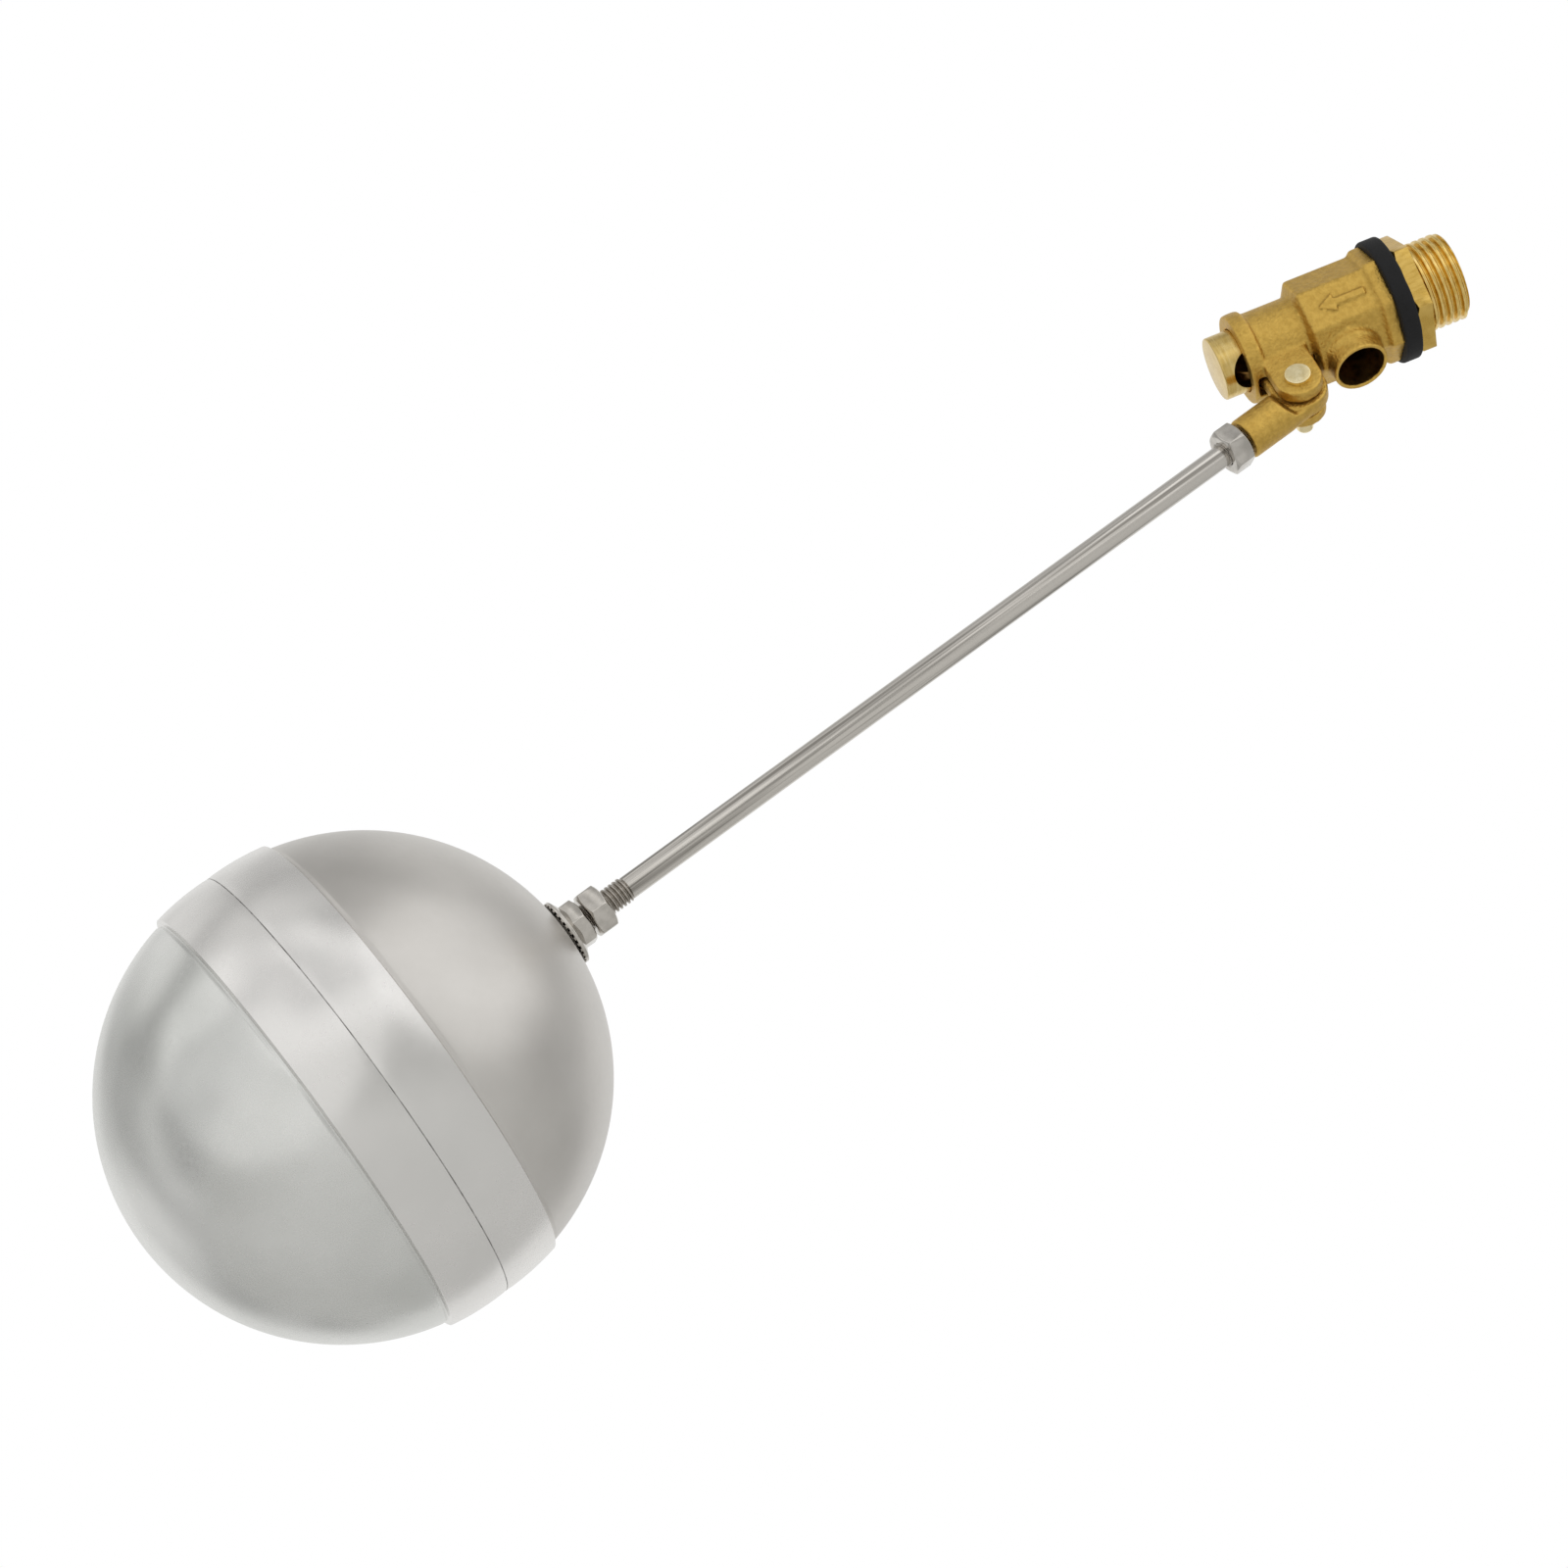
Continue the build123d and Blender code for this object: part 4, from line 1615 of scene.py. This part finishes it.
@dataclass
class FloatBall:
    """Two pressed domes with a raised belt, welded at the seam."""

    dome_r: float = 52.3
    belt_r: float = 53.3
    wall: float = 0.6
    seam: float = 264.5
    dome_offset: float = 2.4
    belt_half: float = 13.4
    hole_r: float = 5.05
    gap: float = 0.12
    step: float = 0.42
    lip: float = 0.12
    groove: float = 0.3
    groove_width: float = 1.1
    bead_r: float = 0.3
    bead_depth: float = 0.4
    ripple: float = 0.1
    ripples: float = 260.0
    bead_steps: int = 1040
    arc_steps: int = 72
    blend_steps: int = 8
    belt_steps: int = 14
    segments: int = 256
    sharp_degrees: float = 38.0

    def dome_radius(self, radius: float, height: float) -> float:
        """Returns a sphere's distance from the rod's line at a height from the seam."""
        return math.sqrt(max(0.0, radius**2 - (height - self.dome_offset) ** 2))

    def outline(self, hole: float) -> list[Point]:
        """Returns one half's closed section as (height from the seam, r), outside first.

        Args:
            hole: Radius of the hole at the pole, or zero.

        Returns:
            The section's points, starting at the pole.
        """
        pole = math.asin(hole / self.dome_r)
        foot = self.belt_half + self.step / 2
        edge = math.acos((foot + self.groove_width - self.dome_offset) / self.dome_r)
        points = []
        for index in range(self.arc_steps + 1):
            angle = pole + (edge - pole) * index / self.arc_steps
            height = self.dome_offset + self.dome_r * math.cos(angle)
            points.append((height, self.dome_r * math.sin(angle)))
        low = self.dome_r - self.groove
        for start, end, inner, outer in (
            (foot + self.groove_width, foot, self.dome_r, low),
            (foot, foot - self.step, low, self.belt_r),
        ):
            for index in range(1, self.blend_steps + 1):
                share = index / self.blend_steps
                height = start + (end - start) * share
                radius = inner + (outer - inner) * share * share * (3 - 2 * share)
                points.append((height, self.dome_radius(radius, height)))
        for index in range(1, self.belt_steps + 1):
            share = index / self.belt_steps
            height = (self.belt_half - self.step / 2) * (1 - share) + self.gap * share
            points.append((height, self.dome_radius(self.belt_r, height)))
        points[-1] = (self.gap, points[-1][1] - self.lip / 2)
        points.append((self.gap / 2, points[-1][1] - self.lip))
        points.append((self.gap / 2, self.belt_r - self.wall - self.lip))
        inner = []
        for height, radius in points[:-3]:
            share = 1 - self.wall / math.hypot(height - self.dome_offset, radius)
            inner.append((self.dome_offset + (height - self.dome_offset) * share, radius * share))
        return points + list(reversed(inner))

    def on_belt(self, spot: Vector) -> bool:
        """Says whether a point, in millimetres, is on the raised belt."""
        local = ARM.matrix().inverted() @ (spot * MM) / MM
        return abs(local.x - self.seam) < self.belt_half + self.step / 2

    def build(self, beads: GeometryTree) -> None:
        """Makes and dresses the float.

        Args:
            beads: The tree of a weld bead.
        """
        matrix = ARM.matrix() @ Matrix.Translation((self.seam * MM, 0, 0))
        flip = matrix @ Matrix.Rotation(math.radians(180), 4, "Z")
        for name, place, hole, finish, node in (
            ("float_half_rod_side", flip, self.hole_r, FLOAT_SATIN, "float_shell_rod_side"),
            ("float_half_far_side", matrix, 0.0, FLOAT_STEEL, "float_shell_far_side"),
        ):
            half = lathe(name, self.outline(hole), place, self.segments, closed=hole > 0)
            smooth_shade(half.data, self.sharp_degrees)
            dress(half, finish, Body.ARM, [node])
            refinish(half, FLOAT_BELT, self.on_belt)
        upright = matrix @ Matrix.Rotation(QUARTER_TURN, 4, "Y")
        bead = beads.make(
            "float_weld_bead", upright, WELD_STEEL.material(),
            radius=(self.belt_r - self.bead_depth) * MM, thickness=self.bead_r * MM,
            ripple=self.ripple, ripples=self.ripples, steps=self.bead_steps,
        )
        dress(bead, WELD_STEEL, Body.ARM, ["float_seam_weld"])
        dress_node("float_boss", NUT_STEEL)
        dress_node("float_backing_ring", FLOAT_STEEL)


# ---------------------------------------------------------------- studio


@dataclass(frozen=True)
class Lamp:
    """A soft round light: where it stands from the valve's middle, its diameter and its watts."""

    name: str
    offset: tuple[float, float, float]
    size: float
    power: float

    def build(self, centre: Vector) -> None:
        """Makes the light.

        Args:
            centre: What it faces, in metres.
        """
        data = bpy.data.lights.new(self.name, "AREA")
        data.shape = "DISK"
        data.size = self.size
        data.energy = self.power
        light = bpy.data.objects.new(self.name, data)
        light.location = centre + Vector(self.offset)
        light.rotation_euler = (-Vector(self.offset)).to_track_quat("-Z", "Y").to_euler()
        light.visible_camera = False
        bpy.context.scene.collection.objects.link(light)


@dataclass
class Studio:
    """Pale floor, soft lights and the camera, which looks up at the mounted valve. Sizes in metres."""

    camera_place: tuple[float, float, float] = (-0.21026, -0.63348, -0.58096)
    forward: tuple[float, float, float] = (0.04868, 0.77490, 0.63020)
    right: tuple[float, float, float] = (0.92602, 0.20145, -0.31924)
    lens: float = 86.66
    floor_height: float = -1.25
    floor_size: float = 9.0
    surround: tuple[Point, ...] = ((0.05, 0.8), (0.25, 0.4), (0.42, 0.9), (0.62, 0.48), (0.85, 1.0))
    surround_strength: float = 0.9
    cloud_scale: float = 1.6
    cloud_depth: float = 0.95
    cloud_detail: float = 1.5
    warmth: float = 0.985
    centre: tuple[float, float, float] = (-0.13, 0.0, -0.05)
    lamps: tuple[Lamp, ...] = (
        Lamp("key", (-0.5, -1.0, -0.05), 2.4, 4.4),
        Lamp("fill", (1.0, -0.7, 0.2), 2.0, 5.0),
    )

    def build_camera(self) -> None:
        """Makes the camera."""
        data = bpy.data.cameras.new("camera")
        data.lens = self.lens
        data.sensor_width = 36.0
        data.clip_start = 0.01
        data.clip_end = 50.0
        camera = bpy.data.objects.new("camera", data)
        bpy.context.scene.collection.objects.link(camera)
        forward = Vector(self.forward).normalized()
        right = Vector(self.right)
        right = (right - forward * right.dot(forward)).normalized()
        up = right.cross(forward)
        axes = Matrix((right, up, -forward)).transposed().to_4x4()
        camera.matrix_world = Matrix.Translation(self.camera_place) @ axes
        bpy.context.scene.camera = camera

    def build_floor(self) -> None:
        """Makes the pale floor, far below the mounted valve."""
        half = self.floor_size / 2
        bm = bmesh.new()
        corners = ((-half, -half), (half, -half), (half, half), (-half, half))
        bm.faces.new([bm.verts.new((x, y, self.floor_height)) for x, y in corners])
        mesh = bpy.data.meshes.new("floor")
        bm.to_mesh(mesh)
        bm.free()
        floor = new_object("floor", mesh)
        material = bpy.data.materials.new("floor_paint")
        material.use_nodes = True
        graph = NodeGraph(material.node_tree)
        shader = material.node_tree.nodes["Principled BSDF"]
        vector = graph.add("ShaderNodeTexCoord").outputs["Object"]
        tint = graph.ramp(graph.noise(vector, 3.0), ((0.3, (0.80, 0.80, 0.79)), (0.7, (0.84, 0.84, 0.83))))
        graph.feed(shader.inputs["Base Color"], tint)
        shader.inputs["Roughness"].default_value = 0.8
        mesh.materials.append(material)

    def build_world(self) -> None:
        """Makes the pale surroundings: white to the eye, with soft light and shade in reflections."""
        world = bpy.data.worlds.new("studio")
        world.use_nodes = True
        bpy.context.scene.world = world
        graph = NodeGraph(world.node_tree)
        world.node_tree.nodes.clear()
        direction = graph.add("ShaderNodeTexCoord").outputs["Generated"]
        facing = graph.add("ShaderNodeVectorMath", operation="DOT_PRODUCT")
        graph.feed(facing.inputs[0], direction)
        facing.inputs[1].default_value = self.forward
        cloud = graph.noise(direction, self.cloud_scale, self.cloud_detail)
        level = graph.math("MULTIPLY_ADD", facing.outputs["Value"], 0.5, 0.5)
        drift = graph.math("MULTIPLY", graph.math("SUBTRACT", cloud, 0.5), self.cloud_depth)
        level = graph.math("ADD", level, drift)
        stops = tuple((place, (tone, tone, tone * self.warmth)) for place, tone in self.surround)
        grey = graph.ramp(level, stops)
        soft = graph.add("ShaderNodeBackground")
        graph.feed(soft.inputs["Color"], grey)
        soft.inputs["Strength"].default_value = self.surround_strength
        plain = graph.add("ShaderNodeBackground")
        plain.inputs["Color"].default_value = (1.0, 1.0, 1.0, 1.0)
        plain.inputs["Strength"].default_value = 1.0
        seen = graph.add("ShaderNodeLightPath").outputs["Is Camera Ray"]
        mix = graph.add("ShaderNodeMixShader")
        graph.feed(mix.inputs[0], seen)
        graph.feed(mix.inputs[1], soft.outputs[0])
        graph.feed(mix.inputs[2], plain.outputs[0])
        output = graph.add("ShaderNodeOutputWorld")
        graph.feed(output.inputs["Surface"], mix.outputs[0])

    def build(self) -> None:
        """Makes the whole studio."""
        bpy.context.scene.view_settings.view_transform = "Standard"
        self.build_camera()
        self.build_floor()
        self.build_world()
        for lamp in self.lamps:
            lamp.build(Vector(self.centre))


def main() -> None:
    """Builds every sub-assembly in order."""
    logging.basicConfig(level=logging.INFO, format="%(message)s")
    threads, teeth, beads = thread_tree(), serration_tree(), bead_tree()
    Studio().build()
    Inlet().build(threads)
    Casting().build()
    PivotPin().build()
    Piston().build()
    Lever().build()
    Rod().build(threads, teeth)
    FloatBall().build(beads)


if __name__ == "__main__":
    main()
